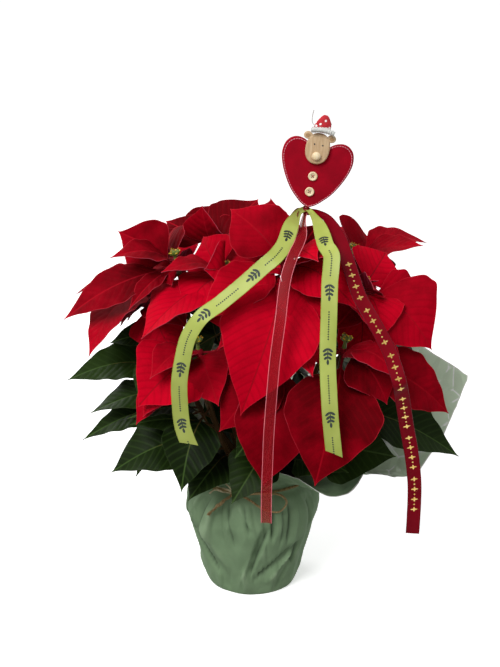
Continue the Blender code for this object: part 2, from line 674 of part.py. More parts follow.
def build_tie(into):
    """Raffia round the neck, its knot at the front, one stiff tail and a small loop."""
    finish = material("raffia", (0.42, 0.30, 0.16), 0.8)
    away = PAPER / 2 + RAFFIA_RADIUS + 2 * GAP
    ring = [wrap_point(a, NECK_HEIGHT + 0.0005, NECK_RADIUS + away, 1.0) for a in wrap_angles()]
    pieces = [meshed(tube("tie_ring", ring, RAFFIA_RADIUS, into, finish, sides=0, closed=True))]
    knot = wrap_point(TIE_KNOT_ANGLE, NECK_HEIGHT, NECK_RADIUS + away + RAFFIA_RADIUS, 1.0)
    pieces.append(ball("tie_knot", TIE_KNOT_RADIUS, knot, into))
    tail = [knot + Vector(step) for step in TIE_TAIL]
    pieces.append(meshed(tube("tie_tail", tail, RAFFIA_RADIUS, into, finish, sides=0)))
    loop = smooth_route([knot + Vector(step) for step in TIE_LOOP], 2)
    pieces.append(meshed(tube("tie_loop", loop, RAFFIA_RADIUS * 0.8, into, finish, sides=0)))
    return union("raffia_tie", pieces, into, finish)


def ball(name, radius, middle, into):
    """A small round lump."""
    bm = bmesh.new()
    bmesh.ops.create_icosphere(bm, subdivisions=1, radius=radius)
    mesh = bpy.data.meshes.new(name)
    bm.to_mesh(mesh)
    bm.free()
    mesh.transform(Matrix.Translation(middle))
    return link(name, mesh, into)


def head_axis(middle):
    """A head faces up and a little outward."""
    return (UP + 0.22 * Vector((middle[0], middle[1], 0)).normalized()).normalized()


def stem_route(name):
    """The stem's line, from where it leaves the trunk to just under its head."""
    middle = Vector(HEADS[name][0])
    flat = Vector((middle.x, middle.y, 0))
    out = flat.normalized()
    order = sorted(HEADS, key=lambda n: HEADS[n][0][2] - 1.2 * Vector(HEADS[n][0][:2]).length)
    level = 0.118 + (TRUNK_TOP - 0.126) * order.index(name) / (len(order) - 1)
    start_way = (out + 0.9 * UP).normalized()
    start = UP * level + out * (TRUNK_RADIUS + GAP + STEM_RADIUS * 0.75)
    end = middle - head_axis(middle) * (HUB_RADIUS + GAP)
    reach = (end - start).length
    bend = [start, start + start_way * 0.30 * reach, end - head_axis(middle) * 0.40 * reach, end]
    route = []
    steps = 5
    for k in range(steps + 1):
        t = k / steps
        row = bend
        while len(row) > 1:
            row = [a.lerp(b, t) for a, b in zip(row, row[1:])]
        route.append(row[0])
    return route


def along_route(route, share):
    place = share * (len(route) - 1)
    i = min(int(place), len(route) - 2)
    return route[i].lerp(route[i + 1], place - i)


def build_trunk(into):
    bark = material("woody stem", (0.20, 0.15, 0.08), 0.75)
    foot = SOIL_LEVEL - TRUNK_ROOT + 0.001
    route = [UP * z for z in (foot, SOIL_LEVEL, 0.5 * (SOIL_LEVEL + TRUNK_TOP), TRUNK_TOP)]
    return meshed(tube("trunk", route, TRUNK_RADIUS, into, bark, sides=3))


def build_plant(into, placed):
    """Every stem, head and flower cluster, then the bracts and leaves, the ones that show first."""
    green = material("leaf green", (0.035, 0.10, 0.025), 0.5)
    red = material("bract red", (0.62, 0.008, 0.025), 0.5)
    gold = material("cyathium", (0.55, 0.52, 0.10), 0.5)
    scratch = collection("being_joined")
    pieces = {}
    for name, (middle, *_) in HEADS.items():
        route = stem_route(name)
        stem = tube("stem_" + name, route, STEM_RADIUS, scratch, green, taper=lambda t: 1.15 - 0.3 * t)
        hub = ball("hub_" + name, HUB_RADIUS, Vector(middle), scratch)
        for node, first in (("leafy_stem_" + name, meshed(stem)), ("bracts_" + name, hub)):
            pieces[node] = [first]
            placed.add_object(first, node)
        placed.add_object(build_cluster(name, Vector(middle), into, gold, scratch))
    for number, (node, spec, outline, must) in enumerate(every_blade(), 1):
        rows = place_blade(placed, node, spec, outline, number, must)
        if rows:
            mesh = mesh_of(f"blade_{number}", *blade_solid(rows, outline))
            pieces[node].append(link(f"blade_{number}", mesh, scratch))
    for name in HEADS:
        union("bracts_" + name, pieces["bracts_" + name], into, red)
        union("leafy_stem_" + name, pieces["leafy_stem_" + name], into, green)
    bpy.data.collections.remove(scratch)


def every_blade():
    """Each blade's node, its spec, its outline and whether the plant must have it, in order."""
    for name, (middle, shown, *_) in HEADS.items():
        for tip, width, arch, face in shown:
            outline = BRACT_OUTLINE if tip[1] < FRONT_TIPS else BACK_OUTLINE
            yield "bracts_" + name, (middle, tip, width, arch, face), outline, True
    for name, share, tip, width, arch, face in LEAVES:
        base = along_route(stem_route(name), share)
        yield "leafy_stem_" + name, (base, tip, width, arch, face), LEAF_OUTLINE, True
    for name, (middle, _, count, length, pitch) in HEADS.items():
        for k in range(count):
            yield "bracts_" + name, ruled_bract(Vector(middle), k, length, pitch), BACK_OUTLINE, False
    for name, (count, length) in RULED_LEAVES.items():
        for k in range(count):
            yield "leafy_stem_" + name, ruled_leaf(stem_route(name), k, count, length), BACK_OUTLINE, False


def ruled_bract(middle, k, length, pitch):
    """Bracts by rule: turned by the golden angle, the outer ones longer and lower."""
    turn = math.atan2(middle.y, middle.x) + k * GOLDEN_ANGLE
    drop = math.radians(pitch - 5 * k)
    way = Vector((math.cos(turn) * math.cos(drop), math.sin(turn) * math.cos(drop), math.sin(drop)))
    reach = length * (1 + 0.03 * k)
    return middle, middle + way * reach, 0.58 * reach, 0.18, 0.2


def ruled_leaf(route, k, count, length):
    """Leaves by rule: up the stem, turned by the golden angle but kept on its outer side, drooping."""
    base = along_route(route, LEAF_FROM + (LEAF_TO - LEAF_FROM) * k / max(count - 1, 1))
    out = math.atan2(base.y, base.x)
    swing = out + (math.radians(70) * math.sin(2.4 * k + 0.8) if k % 2 == 0 else k * GOLDEN_ANGLE)
    drop = math.radians(-28)
    way = Vector((math.cos(swing) * math.cos(drop), math.sin(swing) * math.cos(drop), math.sin(drop)))
    return base, base + way * length, 0.56 * length, 0.16, 0.2


def build_cluster(name, middle, into, finish, scratch):
    """The true flowers in the middle of a head: small cups on a short neck that clears the bracts."""
    axis = head_axis(middle)
    foot = middle + axis * (HUB_RADIUS + GAP)
    turn = UP.rotation_difference(axis).to_matrix().to_4x4()
    neck = cylinder("neck_" + name, NECK_THIN, NECK_RISE, 5, scratch)
    neck.data.transform(Matrix.Translation(foot + axis * NECK_RISE / 2) @ turn)
    pieces = [neck]
    for k in range(4):
        swing = 2 * math.pi * k / 3
        reach = CLUSTER_RADIUS if k else 0
        lean = Matrix.Rotation(-CUP_LEAN if k else 0, 4, Vector((-math.sin(swing), math.cos(swing), 0)))
        spot = Vector((reach * math.cos(swing), reach * math.sin(swing), NECK_RISE + CUP_LIFT))
        cup = cylinder("cup", CYATHIUM_RADIUS, CUP_HEIGHT, 5, scratch)
        cup.data.transform(Matrix.Translation(foot + turn @ spot) @ turn @ lean)
        pieces.append(cup)
    return union("cyathia_" + name, pieces, into, finish)


def pick_frame():
    """The pick's own axes: x to the right, y to the back, z up the stick from the heart's point."""
    up = (PICK_POINT - STICK_FOOT).normalized()
    back = (-FRONT - up * (-FRONT).dot(up)).normalized()
    right = back.cross(up)
    turn = Matrix((right, back, up)).transposed()
    return Matrix.Translation(PICK_POINT) @ turn.to_4x4()


def plate(name, outline, thickness, into, finish):
    """A flat piece in the pick's plane: its outline as (x, z) points, its middle on y = 0."""
    curve = bpy.data.curves.new(name, "CURVE")
    curve.dimensions = "2D"
    curve.fill_mode = "BOTH"
    curve.extrude = thickness / 2
    spline = curve.splines.new("POLY")
    spline.points.add(len(outline) - 1)
    for point, (x, z) in zip(spline.points, outline):
        point.co = (x, z, 0, 1)
    spline.use_cyclic_u = True
    obj = bpy.data.objects.new(name, curve)
    obj.rotation_euler.x = math.radians(90)
    into.objects.link(obj)
    bpy.context.view_layer.update()
    made = meshed(obj)
    made.data.transform(made.matrix_world)
    made.matrix_world = Matrix.Identity(4)
    made.data.materials.append(finish)
    return made


def oval(size, middle, sides):
    """Points of an ellipse with these half sizes round (x, z)."""
    angles = [2 * math.pi * k / sides for k in range(sides)]
    return [(middle[0] + size[0] * math.cos(a), middle[1] + size[1] * math.sin(a)) for a in angles]


def heart_outline():
    """Both sides of the heart, from its point up the right and down the left."""
    return [*HEART_SIDE, *((-x, z) for x, z in HEART_SIDE[-2:0:-1])]


def build_pick(into):
    """Felt heart, wooden animal head with its hat, two buttons and the stick behind them."""
    felt = material("red felt", (0.35, 0.008, 0.02), 0.9)
    wood = material("pale wood", (0.55, 0.38, 0.22), 0.6)
    bead = material("cream wood", (0.75, 0.60, 0.38), 0.5)
    white = material("white felt", (0.80, 0.80, 0.76), 0.9)
    dotted = material("hat cotton", (0.60, 0.03, 0.04), 0.85)
    empty = bpy.data.objects.new("pick_frame", None)
    into.objects.link(empty)
    empty.matrix_world = pick_frame()
    front = -HEART_THICK / 2 - GAP
    face_front = front - HEAD_THICK - GAP
    pieces = [plate("pick_heart", heart_outline(), HEART_THICK, into, felt), build_head(into, wood, front)]
    nose_foot = (HEAD_SIDE, face_front, HEAD_MIDDLE - NOSE_DROP)
    pieces.append(dome("pick_nose", NOSE_RADIUS, NOSE_HEIGHT, nose_foot, into, bead))
    brim_route = []
    for k in range(-3, 4):
        rise = BRIM_RISE + BRIM_ARCH * math.cos(math.pi / 2 * k / 3)
        across = BRIM_MIDDLE + BRIM_REACH * k / 3
        brim_route.append(Vector((across, face_front - BRIM_RADIUS, HEAD_MIDDLE + rise)))
    pieces.append(meshed(tube("pick_hat_brim", brim_route, BRIM_RADIUS, into, white, sides=2)))
    pieces.append(build_hat(into, dotted, face_front))
    for k, height in enumerate(BUTTON_HEIGHTS):
        pieces.append(build_button(f"pick_button_{k + 1}", (BUTTON_SIDE, front, height), into, bead))
    stick_length = (PICK_POINT - STICK_FOOT).length
    stick = cylinder("pick_stick", STICK_RADIUS, stick_length + STICK_ABOVE, 8, into, wood)
    stick.data.transform(Matrix.Translation((0, STICK_BACK, (STICK_ABOVE - stick_length) / 2)))
    pieces.append(stick)
    bore = STICK_RADIUS + GAP
    outline = [(KNOT_RADIUS, 0.003), (KNOT_RADIUS, -0.003), (bore, -0.004), (bore, 0.004)]
    knot = meshed(turned("ribbon_knot", outline, 16, into, felt))
    knot.data.transform(Matrix.Translation((0, STICK_BACK, -KNOT_DROP)))
    pieces.append(knot)
    for piece in pieces:
        piece.parent = empty


def build_head(into, wood, front):
    """The flat face with its two ears, in front of the heart."""
    face = plate("face", oval(HEAD_SIZE, (HEAD_SIDE, HEAD_MIDDLE), 20), HEAD_THICK, into, wood)
    ears = []
    for side in (-1, 1):
        middle = (HEAD_SIDE + side * EAR_PLACE[0], HEAD_MIDDLE + EAR_PLACE[1])
        ears.append(plate("ear", oval(EAR_SIZE, middle, 10), HEAD_THICK * 0.8, into, wood))
    head = union("pick_head", [face, *ears], into, wood)
    head.data.transform(Matrix.Translation((0, front - HEAD_THICK / 2, 0)))
    return head


def dome(name, radius, height, foot, into, finish):
    """A low round bead whose flat side is at the foot and which bulges to the front."""
    cut = 0.0008
    bm = bmesh.new()
    bmesh.ops.create_uvsphere(bm, u_segments=10, v_segments=6, radius=radius)
    bmesh.ops.rotate(bm, verts=bm.verts, matrix=Matrix.Rotation(math.radians(90), 3, "X"))
    whole = bm.verts[:] + bm.edges[:] + bm.faces[:]
    bmesh.ops.bisect_plane(bm, geom=whole, plane_co=(0, cut, 0), plane_no=(0, 1, 0), clear_outer=True)
    bmesh.ops.holes_fill(bm, edges=[e for e in bm.edges if e.is_boundary])
    for v in bm.verts:
        v.co.y = (v.co.y - cut) * height / (radius + cut)
    bmesh.ops.triangulate(bm, faces=bm.faces)
    bmesh.ops.recalc_face_normals(bm, faces=bm.faces)
    mesh = bpy.data.meshes.new(name)
    bm.to_mesh(mesh)
    bm.free()
    mesh.transform(Matrix.Translation(foot))
    return link(name, mesh, into, finish)


def build_button(name, foot, into, finish):
    """A round wooden button with four sewing holes."""
    button = plate(name, oval((BUTTON_RADIUS, BUTTON_RADIUS), (0, 0), 14), BUTTON_THICK, into, finish)
    away, size = BUTTON_HOLE_AWAY, (BUTTON_HOLE, BUTTON_HOLE)
    spots = [(x, z) for x in (-away, away) for z in (-away, away)]
    holes = [plate("hole", oval(size, spot, 4), 5 * BUTTON_THICK, into, finish) for spot in spots]
    for hole in holes:
        hole.hide_render = True
        cut = button.modifiers.new("hole", "BOOLEAN")
        cut.operation = "DIFFERENCE"
        cut.object = hole
    bpy.context.view_layer.update()
    button = meshed(button)
    for hole in holes:
        bpy.data.objects.remove(hole, do_unlink=True)
    button.data.transform(Matrix.Translation((foot[0], foot[1] - BUTTON_THICK / 2, foot[2])))
    return button


def build_hat(into, finish, face_front):
    """The soft pointed hat behind the brim, leaning back over, with its thread."""
    rings, sides = HAT_RINGS, 9
    foot = Vector((HAT_MIDDLE, face_front + HEAD_THICK / 2 + 0.0015, HEAD_MIDDLE + HEAD_SIZE[1] + 2 * GAP))
    points, faces = [], []
    for height, wide, deep in rings:
        for k in range(sides):
            a = 2 * math.pi * k / sides
            across = HAT_LEAN * height + wide * math.cos(a)
            points.append(foot + Vector((across, deep * math.sin(a), height)))
    for i in range(len(rings) - 1):
        for k in range(sides):
            a, b = i * sides + k, i * sides + (k + 1) % sides
            faces.append((a, b, b + sides, a + sides))
    faces.append(tuple(range(sides - 1, -1, -1)))
    faces.append(tuple(range(len(points) - sides, len(points))))
    hat = link("hat_cone", mesh_of("hat_cone", points, faces), into, finish)
    start = foot + Vector((0.005 - HAT_RINGS[1][1] - 0.0031, -0.0015, 0.005))
    thread = [start + Vector(step) for step in HAT_THREAD]
    string = meshed(tube("hat_thread", thread, HAT_THREAD_RADIUS, into, finish))
    return union("pick_hat", [hat, string], into, finish)


def ribbon_rows(name, placed, extra):
    """The ribbon's two edges down its route, kept this far in front of what is behind it."""
    rise, points, width, _ = RIBBONS[name]
    knot = pick_frame() @ Vector((0, STICK_BACK, -KNOT_DROP))
    way = (Vector(points[0]) - knot) * Vector((1, 1, 0))
    seat = knot + way.normalized() * (KNOT_RADIUS + 1.5 * GAP) + UP * rise
    route = smooth_route((seat, *points), 2)
    for place in route[2:]:
        spots = [(q * width, h) for q in (-0.6, -0.3, 0, 0.3, 0.6) for h in (-0.006, 0, 0.006)]
        found = [placed.front_of(place.x + across, place.z + up) for across, up in spots]
        found = [y for y in found if y is not None]
        if found:
            place.y = min(place.y, min(found) - RIBBON_GAP - extra)
    for _ in range(6):
        for k in range(2, len(route) - 1):
            route[k].y = min(route[k].y, (route[k - 1].y + route[k + 1].y) / 2)
    rows = []
    for k, place in enumerate(route):
        along = (route[min(k + 1, len(route) - 1)] - route[max(k - 1, 0)]).normalized()
        side = along.cross(Vector((0, -0.85, 0.53))).normalized()
        half = width / 2 * min(1, RIBBON_PINCH + RIBBON_SPREAD * k)
        rows.append([place + side * half, place - side * half])
    return rows


def build_ribbon(name, placed, into):
    """A ribbon that hangs from the knot and lies just in front of what is behind it."""
    for step in range(8):
        rows = ribbon_rows(name, placed, RIBBON_STEP * step)
        points, faces = shell(rows, [RIBBON_THICK] * len(rows))
        if not placed.hits(points, faces, set()):
            break
    else:
        print("no clear route for", name)
    return link(name, mesh_of(name, points, faces), into, material(name, RIBBONS[name][3], 0.4))


def main():
    clear_scene()
    parts = collection("potted_poinsettia")
    helpers = collection("cutters")
    placed = Placed()
    build_pot(parts)
    build_soil(parts, helpers)
    meshed(build_wrap(parts))
    build_tie(parts)
    build_trunk(parts)
    build_pick(parts)
    bpy.context.view_layer.update()
    for obj in parts.objects:
        if obj.name not in ("grower_pot", "potting_soil") and obj.type == "MESH":
            placed.add_object(obj)
    build_plant(parts, placed)
    for name in RIBBONS:
        placed.add_object(build_ribbon(name, placed, parts))
    for obj in parts.objects:
        if obj.type == "MESH":
            obj.data.shade_smooth()
            obj.data.set_sharp_from_angle(angle=math.radians(35))


main()
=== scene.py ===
# %% [markdown]
# A potted red poinsettia as a florist sells it: a plant in its grower's pot, wrapped in sage
# paper, tied with raffia, with a felt heart on a stick and ribbons hanging from the stick.
# The solids of the frame hold every form at its place and size. This file adds the finish, and
# each fine piece here follows the form of the solid that it stands for.

import math

import bpy
import numpy as np
from mathutils import Matrix, Vector, noise
from mathutils.bvhtree import BVHTree
from mathutils.kdtree import KDTree


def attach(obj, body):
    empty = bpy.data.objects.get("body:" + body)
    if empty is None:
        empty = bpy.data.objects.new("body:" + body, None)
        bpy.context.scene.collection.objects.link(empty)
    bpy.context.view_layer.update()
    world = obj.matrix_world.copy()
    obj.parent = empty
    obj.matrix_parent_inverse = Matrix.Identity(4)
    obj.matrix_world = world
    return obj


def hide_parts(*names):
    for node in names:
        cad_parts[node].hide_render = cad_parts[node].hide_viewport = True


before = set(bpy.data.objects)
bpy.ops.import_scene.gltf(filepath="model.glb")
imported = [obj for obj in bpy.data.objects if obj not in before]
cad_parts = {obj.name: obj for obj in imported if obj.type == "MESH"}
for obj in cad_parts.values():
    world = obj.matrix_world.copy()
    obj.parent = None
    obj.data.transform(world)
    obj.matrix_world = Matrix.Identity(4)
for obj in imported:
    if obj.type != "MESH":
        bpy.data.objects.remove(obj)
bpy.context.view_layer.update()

# %% [markdown]
# The camera stands where the photographer stood: in front, a little above, looking slightly
# down. A long lens from over a metre away keeps the pot's sides nearly parallel, as in the
# picture. Only the viewing angle matters, so there is no depth of field and no shift.

# %% Camera
ELEVATION = math.radians(18)
DISTANCE = 1.30
TARGET = Vector((-0.00239, 0.0, 0.29977))
FRAME_WIDTH, FRAME_HEIGHT = 500, 667
FOCAL_PIXELS = 1165
SENSOR = 36.0

camera = bpy.data.objects.new("camera", bpy.data.cameras.new("camera"))
bpy.context.scene.collection.objects.link(camera)
bpy.context.scene.camera = camera
view_back = Vector((0, -math.cos(ELEVATION), math.sin(ELEVATION)))
camera.location = TARGET + DISTANCE * view_back
camera.rotation_euler = (-view_back).to_track_quat("-Z", "Y").to_euler()
camera.data.sensor_fit = "VERTICAL"
camera.data.sensor_height = SENSOR
camera.data.sensor_width = SENSOR * FRAME_WIDTH / FRAME_HEIGHT
camera.data.lens = FOCAL_PIXELS / FRAME_HEIGHT * SENSOR
print("lens in mm:", round(camera.data.lens, 1))

# %% [markdown]
# Colours are written as the sRGB hex values that a colour picker shows, and shaders want linear
# light, so one function turns one into the other. Another adds a node with its settings and
# links. A finish starts from the one shader that every material here uses, and most of them end
# with a colour and a fine relief.

# %% Colours and nodes
def linear(hex_colour):
    """An sRGB hex colour as the linear red, green, blue and alpha that a shader takes."""
    parts = [int(hex_colour[k:k + 2], 16) / 255 for k in (1, 3, 5)]
    return (*[p / 12.92 if p <= 0.04045 else ((p + 0.055) / 1.055) ** 2.4 for p in parts], 1.0)


def join(tree, source, socket):
    """Links a socket from another, or from a node, which stands for its first output in use."""
    if isinstance(source, bpy.types.Node):
        source = next(output for output in source.outputs if output.enabled)
    tree.links.new(source, socket)


def add(tree, kind, settings=None, links=None):
    """Adds a shader node. A setting is a property of the node, or one of its sockets by name or
    number, and a link goes to a socket."""
    node = tree.nodes.new("ShaderNode" + kind)
    for key, value in (settings or {}).items():
        if isinstance(key, int) or key in node.inputs:
            node.inputs[key].default_value = value
        else:
            setattr(node, key, value)
    for key, source in (links or {}).items():
        join(tree, source, node.inputs[key])
    return node


def new_finish(name, **settings):
    """A material with one Principled shader. Words in a setting are joined by underscores."""
    made = bpy.data.materials.new(name)
    made.use_nodes = True
    shader = made.node_tree.nodes["Principled BSDF"]
    for key, value in settings.items():
        shader.inputs[key.replace("_", " ")].default_value = value
    return made, made.node_tree, shader


def cover(tree, shader, colour, height, strength, depth):
    """Ends a finish: its colour, and a relief that is this many metres deep."""
    bump = add(tree, "Bump", {"Strength": strength, "Distance": depth}, {"Height": height})
    join(tree, colour, shader.inputs["Base Color"])
    join(tree, bump, shader.inputs["Normal"])


# %% [markdown]
# The studio is a white sweep: a wide floor of white paper under a white sky, with one large soft
# light above left of the camera. Light that comes from below would flatten the leaves, so the
# sky is dimmer under the horizon and the floor isn't asked to bounce light back. The plant then
# shows its own colours and goes dark between its leaves. The floor glows a little by itself, as
# a lit table does, so it stays white far off, and a wide white dome closes the view above it.

# %% Studio
SKY_ABOVE, SKY_BELOW = 0.56, 0.12
scene = bpy.context.scene
scene.view_settings.view_transform = "Standard"
scene.world = bpy.data.worlds.new("white room")
scene.world.use_nodes = True
sky = scene.world.node_tree
background = sky.nodes["Background"]
direction = add(sky, "TexCoord")
upward = add(sky, "SeparateXYZ", {}, {0: direction.outputs["Generated"]})
strength = add(sky, "MapRange", {"From Min": -0.25, "From Max": 0.05, "To Min": SKY_BELOW,
                                 "To Max": SKY_ABOVE}, {"Value": upward.outputs["Z"]})
join(sky, strength, background.inputs["Strength"])
background.inputs["Color"].default_value = (1, 1, 1, 1)

# Where each light stands in metres, how wide it is, and its power in watts
LIGHTS = {"key": ((-0.8, -1.5, 1.8), 0.9, 38), "back": ((-1.1, 1.2, 1.2), 0.8, 12)}
AIM = Vector((0, 0, 0.25))
for light_name, (place, size, power) in LIGHTS.items():
    lamp = bpy.data.lights.new(light_name, "AREA")
    lamp.size = size
    lamp.energy = power
    lamp_object = bpy.data.objects.new(light_name, lamp)
    lamp_object.location = place
    lamp_object.rotation_euler = (AIM - Vector(place)).to_track_quat("-Z", "Y").to_euler()
    scene.collection.objects.link(lamp_object)

FLOOR_HALF = 60.0
floor_mesh = bpy.data.meshes.new("floor")
corners = [(x * FLOOR_HALF, y * FLOOR_HALF, 0) for x, y in ((-1, -1), (1, -1), (1, 1), (-1, 1))]
floor_mesh.from_pydata(corners, [], [(0, 1, 2, 3)])
floor = bpy.data.objects.new("floor", floor_mesh)
floor.visible_diffuse = False
scene.collection.objects.link(floor)
floor_finish, _, _ = new_finish("white paper sweep", Base_Color=(0.96, 0.96, 0.96, 1), Roughness=0.9,
                                Emission_Color=(1, 1, 1, 1), Emission_Strength=0.50)
floor_mesh.materials.append(floor_finish)

DOME_RADIUS, DOME_SIDES, DOME_RINGS, DOME_SUNK = 58, 32, 9, 1
dome_mesh = bpy.data.meshes.new("white dome")
dome_points = [(DOME_RADIUS * math.cos(rise) * math.cos(turn), DOME_RADIUS * math.cos(rise) * math.sin(turn),
                DOME_RADIUS * math.sin(rise) - DOME_SUNK)
               for rise in np.linspace(0, math.pi / 2 - 0.02, DOME_RINGS)
               for turn in np.linspace(0, 2 * math.pi, DOME_SIDES + 1)[:-1]]
dome_last = (DOME_RINGS - 1) * DOME_SIDES
dome_faces = [(i + k, i + (k + 1) % DOME_SIDES, i + (k + 1) % DOME_SIDES + DOME_SIDES, i + k + DOME_SIDES)
              for i in range(0, dome_last, DOME_SIDES) for k in range(DOME_SIDES)]
dome_mesh.from_pydata(dome_points, [], dome_faces + [tuple(range(dome_last, dome_last + DOME_SIDES))])
dome = bpy.data.objects.new("dome", dome_mesh)
dome.visible_diffuse = dome.visible_glossy = dome.visible_transmission = dome.visible_shadow = False
scene.collection.objects.link(dome)
dome_finish, _, _ = new_finish("white dome", Base_Color=(0, 0, 0, 1), Specular_IOR_Level=0.0,
                               Emission_Color=(1, 1, 1, 1), Emission_Strength=1.0)
dome_mesh.materials.append(dome_finish)
print("stage pieces: floor and dome")

# %% [markdown]
# A piece is gathered from many small forms: blades, tubes, beads. Each form adds its points,
# its faces, which finish they take and, for a blade, four numbers at each point that the
# material reads: how far it is from the midrib, where it lies between two side veins, a tone
# that makes no two blades the same red and also carries painted shade, and how far it is from
# the blade's edge, where a painted highlight runs. Working with arrays keeps this quick.

# %% Gathering a piece
def circle(count):
    """The angles of this many even steps round a circle."""
    return 2 * np.pi * np.arange(count) / count


def ring_faces(rings, around, closed=False, capped=False):
    """The faces between rings of points, with this many points in each. A closed row of rings
    joins its last to its first, and a capped one has a face over its first and its last."""
    faces = [(i * around + j, i * around + (j + 1) % around,
              (i + 1) % rings * around + (j + 1) % around, (i + 1) % rings * around + j)
             for i in range(rings if closed else rings - 1) for j in range(around)]
    if capped:
        last = (rings - 1) * around
        faces += [tuple(range(around - 1, -1, -1)), tuple(range(last, last + around))]
    return faces


class Gather:
    """The points, the faces and the marks of a piece that is being made."""

    def __init__(self):
        self.points, self.faces, self.kinds, self.marks, self.count = [], [], [], [], 0

    def add(self, points, faces, kind=0, marks=None):
        """Kind is one finish number, or one for each face."""
        points = np.asarray(points, float).reshape(-1, 3)
        self.points.append(points)
        self.faces += [tuple(int(k) + self.count for k in face) for face in faces]
        self.kinds += list(kind) if hasattr(kind, "__len__") else [kind] * len(faces)
        self.marks.append(np.zeros((len(points), 4)) if marks is None else np.asarray(marks, float))
        self.count += len(points)

    def make(self, name, finishes, replaces=(), slot=None):
        """The finished piece, smooth shaded, riding on the part, in place of its CAD nodes."""
        mesh = bpy.data.meshes.new(name)
        mesh.from_pydata(np.concatenate(self.points).tolist(), [], self.faces)
        mesh.polygons.foreach_set("material_index", np.array(self.kinds, np.int32))
        marks = mesh.attributes.new("mark", "FLOAT_VECTOR", "POINT")
        all_marks = np.concatenate(self.marks).astype(np.float32)
        marks.data.foreach_set("vector", all_marks[:, :3].ravel())
        mesh.attributes.new("inset", "FLOAT", "POINT").data.foreach_set("value", all_marks[:, 3].copy())
        for finish in finishes:
            mesh.materials.append(finish)
        mesh.shade_smooth()
        mesh.set_sharp_from_angle(angle=math.radians(50))
        piece = bpy.data.objects.new(name, mesh)
        scene.collection.objects.link(piece)
        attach(piece, "root")
        if replaces:
            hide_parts(*replaces)
        return piece


# %% [markdown]
# The forms that pieces are gathered from: a thin closed sheet over a grid of points, a tube or
# flat strand swept along a route, a form turned on an axis, a small bead, and a flat patch.

# %% Sheets, tubes, turned forms and beads
def unit(vectors):
    """Vectors of length one, whatever they hold."""
    return vectors / np.maximum(np.linalg.norm(vectors, axis=-1, keepdims=True), 1e-12)


def sheet_faces(long, wide):
    """Faces of a closed thin sheet, its top grid, its bottom grid and its rim, and how many are
    in one grid."""
    grid = np.arange(long * wide).reshape(long, wide)
    a, b, c, d = grid[:-1, :-1].ravel(), grid[:-1, 1:].ravel(), grid[1:, 1:].ravel(), grid[1:, :-1].ravel()
    under = long * wide
    top = np.stack([a, d, c, b], 1)
    bottom = np.stack([a, b, c, d], 1) + under
    rim = np.concatenate([grid[0, :], grid[1:, -1], grid[-1, -2::-1], grid[-2:0:-1, 0]])
    after = np.roll(rim, -1)
    edge = np.stack([rim, after, after + under, rim + under], 1)
    return np.concatenate([top, bottom, edge]).tolist(), len(top)


def grid_normals(grid):
    along = np.gradient(grid, axis=0)
    across = np.gradient(grid, axis=1)
    return unit(np.cross(along, across))


def add_sheet(gather, grid, thickness, kinds=(0, 1, 1), marks=None):
    """A thin closed sheet whose middle surface is this grid of points. It takes three finish
    numbers: its upper side, its under side and its rim."""
    long, wide = grid.shape[:2]
    normals = grid_normals(grid)
    faces, tops = sheet_faces(long, wide)
    points = np.concatenate([(grid + side * normals * thickness / 2).reshape(-1, 3) for side in (1, -1)])
    kind = [kinds[0]] * tops + [kinds[1]] * tops + [kinds[2]] * (len(faces) - 2 * tops)
    both = None if marks is None else np.concatenate([marks.reshape(-1, 4)] * 2)
    gather.add(points, faces, kind, both)


def sweep(gather, route, half_wide, half_deep=None, sides=8, kind=0, closed=False, roll=0.0):
    """A tube or a flat strand along a route: half sizes may change from point to point, and the
    cross-section rolls this many radians along it."""
    route = np.asarray(route, float)
    count = len(route)
    half_wide = np.broadcast_to(half_wide, count)
    half_deep = half_wide if half_deep is None else np.broadcast_to(half_deep, count)
    ways = unit(np.roll(route, -1, 0) - np.roll(route, 1, 0)) if closed else unit(np.gradient(route, axis=0))
    side = unit(np.cross(ways[0], (0.3, 0.2, 1.0)))
    turns = circle(sides)
    rings = []
    for k in range(count):
        side = unit(side - ways[k] * np.dot(side, ways[k]))
        other = np.cross(ways[k], side)
        angle = roll * k / max(count - 1, 1)
        a = side * math.cos(angle) + other * math.sin(angle)
        b = other * math.cos(angle) - side * math.sin(angle)
        rings.append(route[k] + np.outer(np.cos(turns), a) * half_wide[k]
                     + np.outer(np.sin(turns), b) * half_deep[k])
    gather.add(np.concatenate(rings), ring_faces(count, sides, closed, not closed), kind)


def between(at, t):
    """The place at share t between the middle two of four points, on a smooth curve."""
    return 0.5 * (2 * at[1] + (at[2] - at[0]) * t + (2 * at[0] - 5 * at[1] + 4 * at[2] - at[3]) * t * t
                  + (3 * at[1] - at[0] - 3 * at[2] + at[3]) * t ** 3)


def run_along(line):
    """How far along a line each of its points lies, in metres."""
    return np.concatenate([[0], np.cumsum(np.linalg.norm(np.diff(line, axis=0), axis=1))])


def polar(radius, angle, height):
    """The point at this radius and angle round the upright axis."""
    return radius * math.cos(angle), radius * math.sin(angle), height


def smooth_line(points, steps, closed=False):
    """Points on a smooth curve through the given ones, with this many steps between each two."""
    points = np.asarray(points, float)
    count = len(points)
    line = []
    for i in range(count if closed else count - 1):
        at = [points[(i + k) % count] if closed else points[min(max(i + k, 0), count - 1)]
              for k in (-1, 0, 1, 2)]
        line += [between(at, step / steps) for step in range(steps)]
    return np.array(line if closed else line + [points[-1]])


def turned(gather, outline, sides, kind=0, middle=(0, 0, 0), wobble=None, turn=None, size=1.0):
    """A turned form from (radius, height) points. Points on the axis close it."""
    rings, angles = [], circle(sides)
    for radius, height in outline:
        r = radius * np.ones(sides)
        if wobble is not None:
            r = r + wobble(angles, height) * (radius > 0)
        rings.append(np.stack([r * np.cos(angles), r * np.sin(angles), np.full(sides, height)], 1))
    turn = np.eye(3) if turn is None else np.array(turn)
    points = np.concatenate(rings) * size @ turn.T + np.array(middle)
    gather.add(points, ring_faces(len(rings), sides), kind)


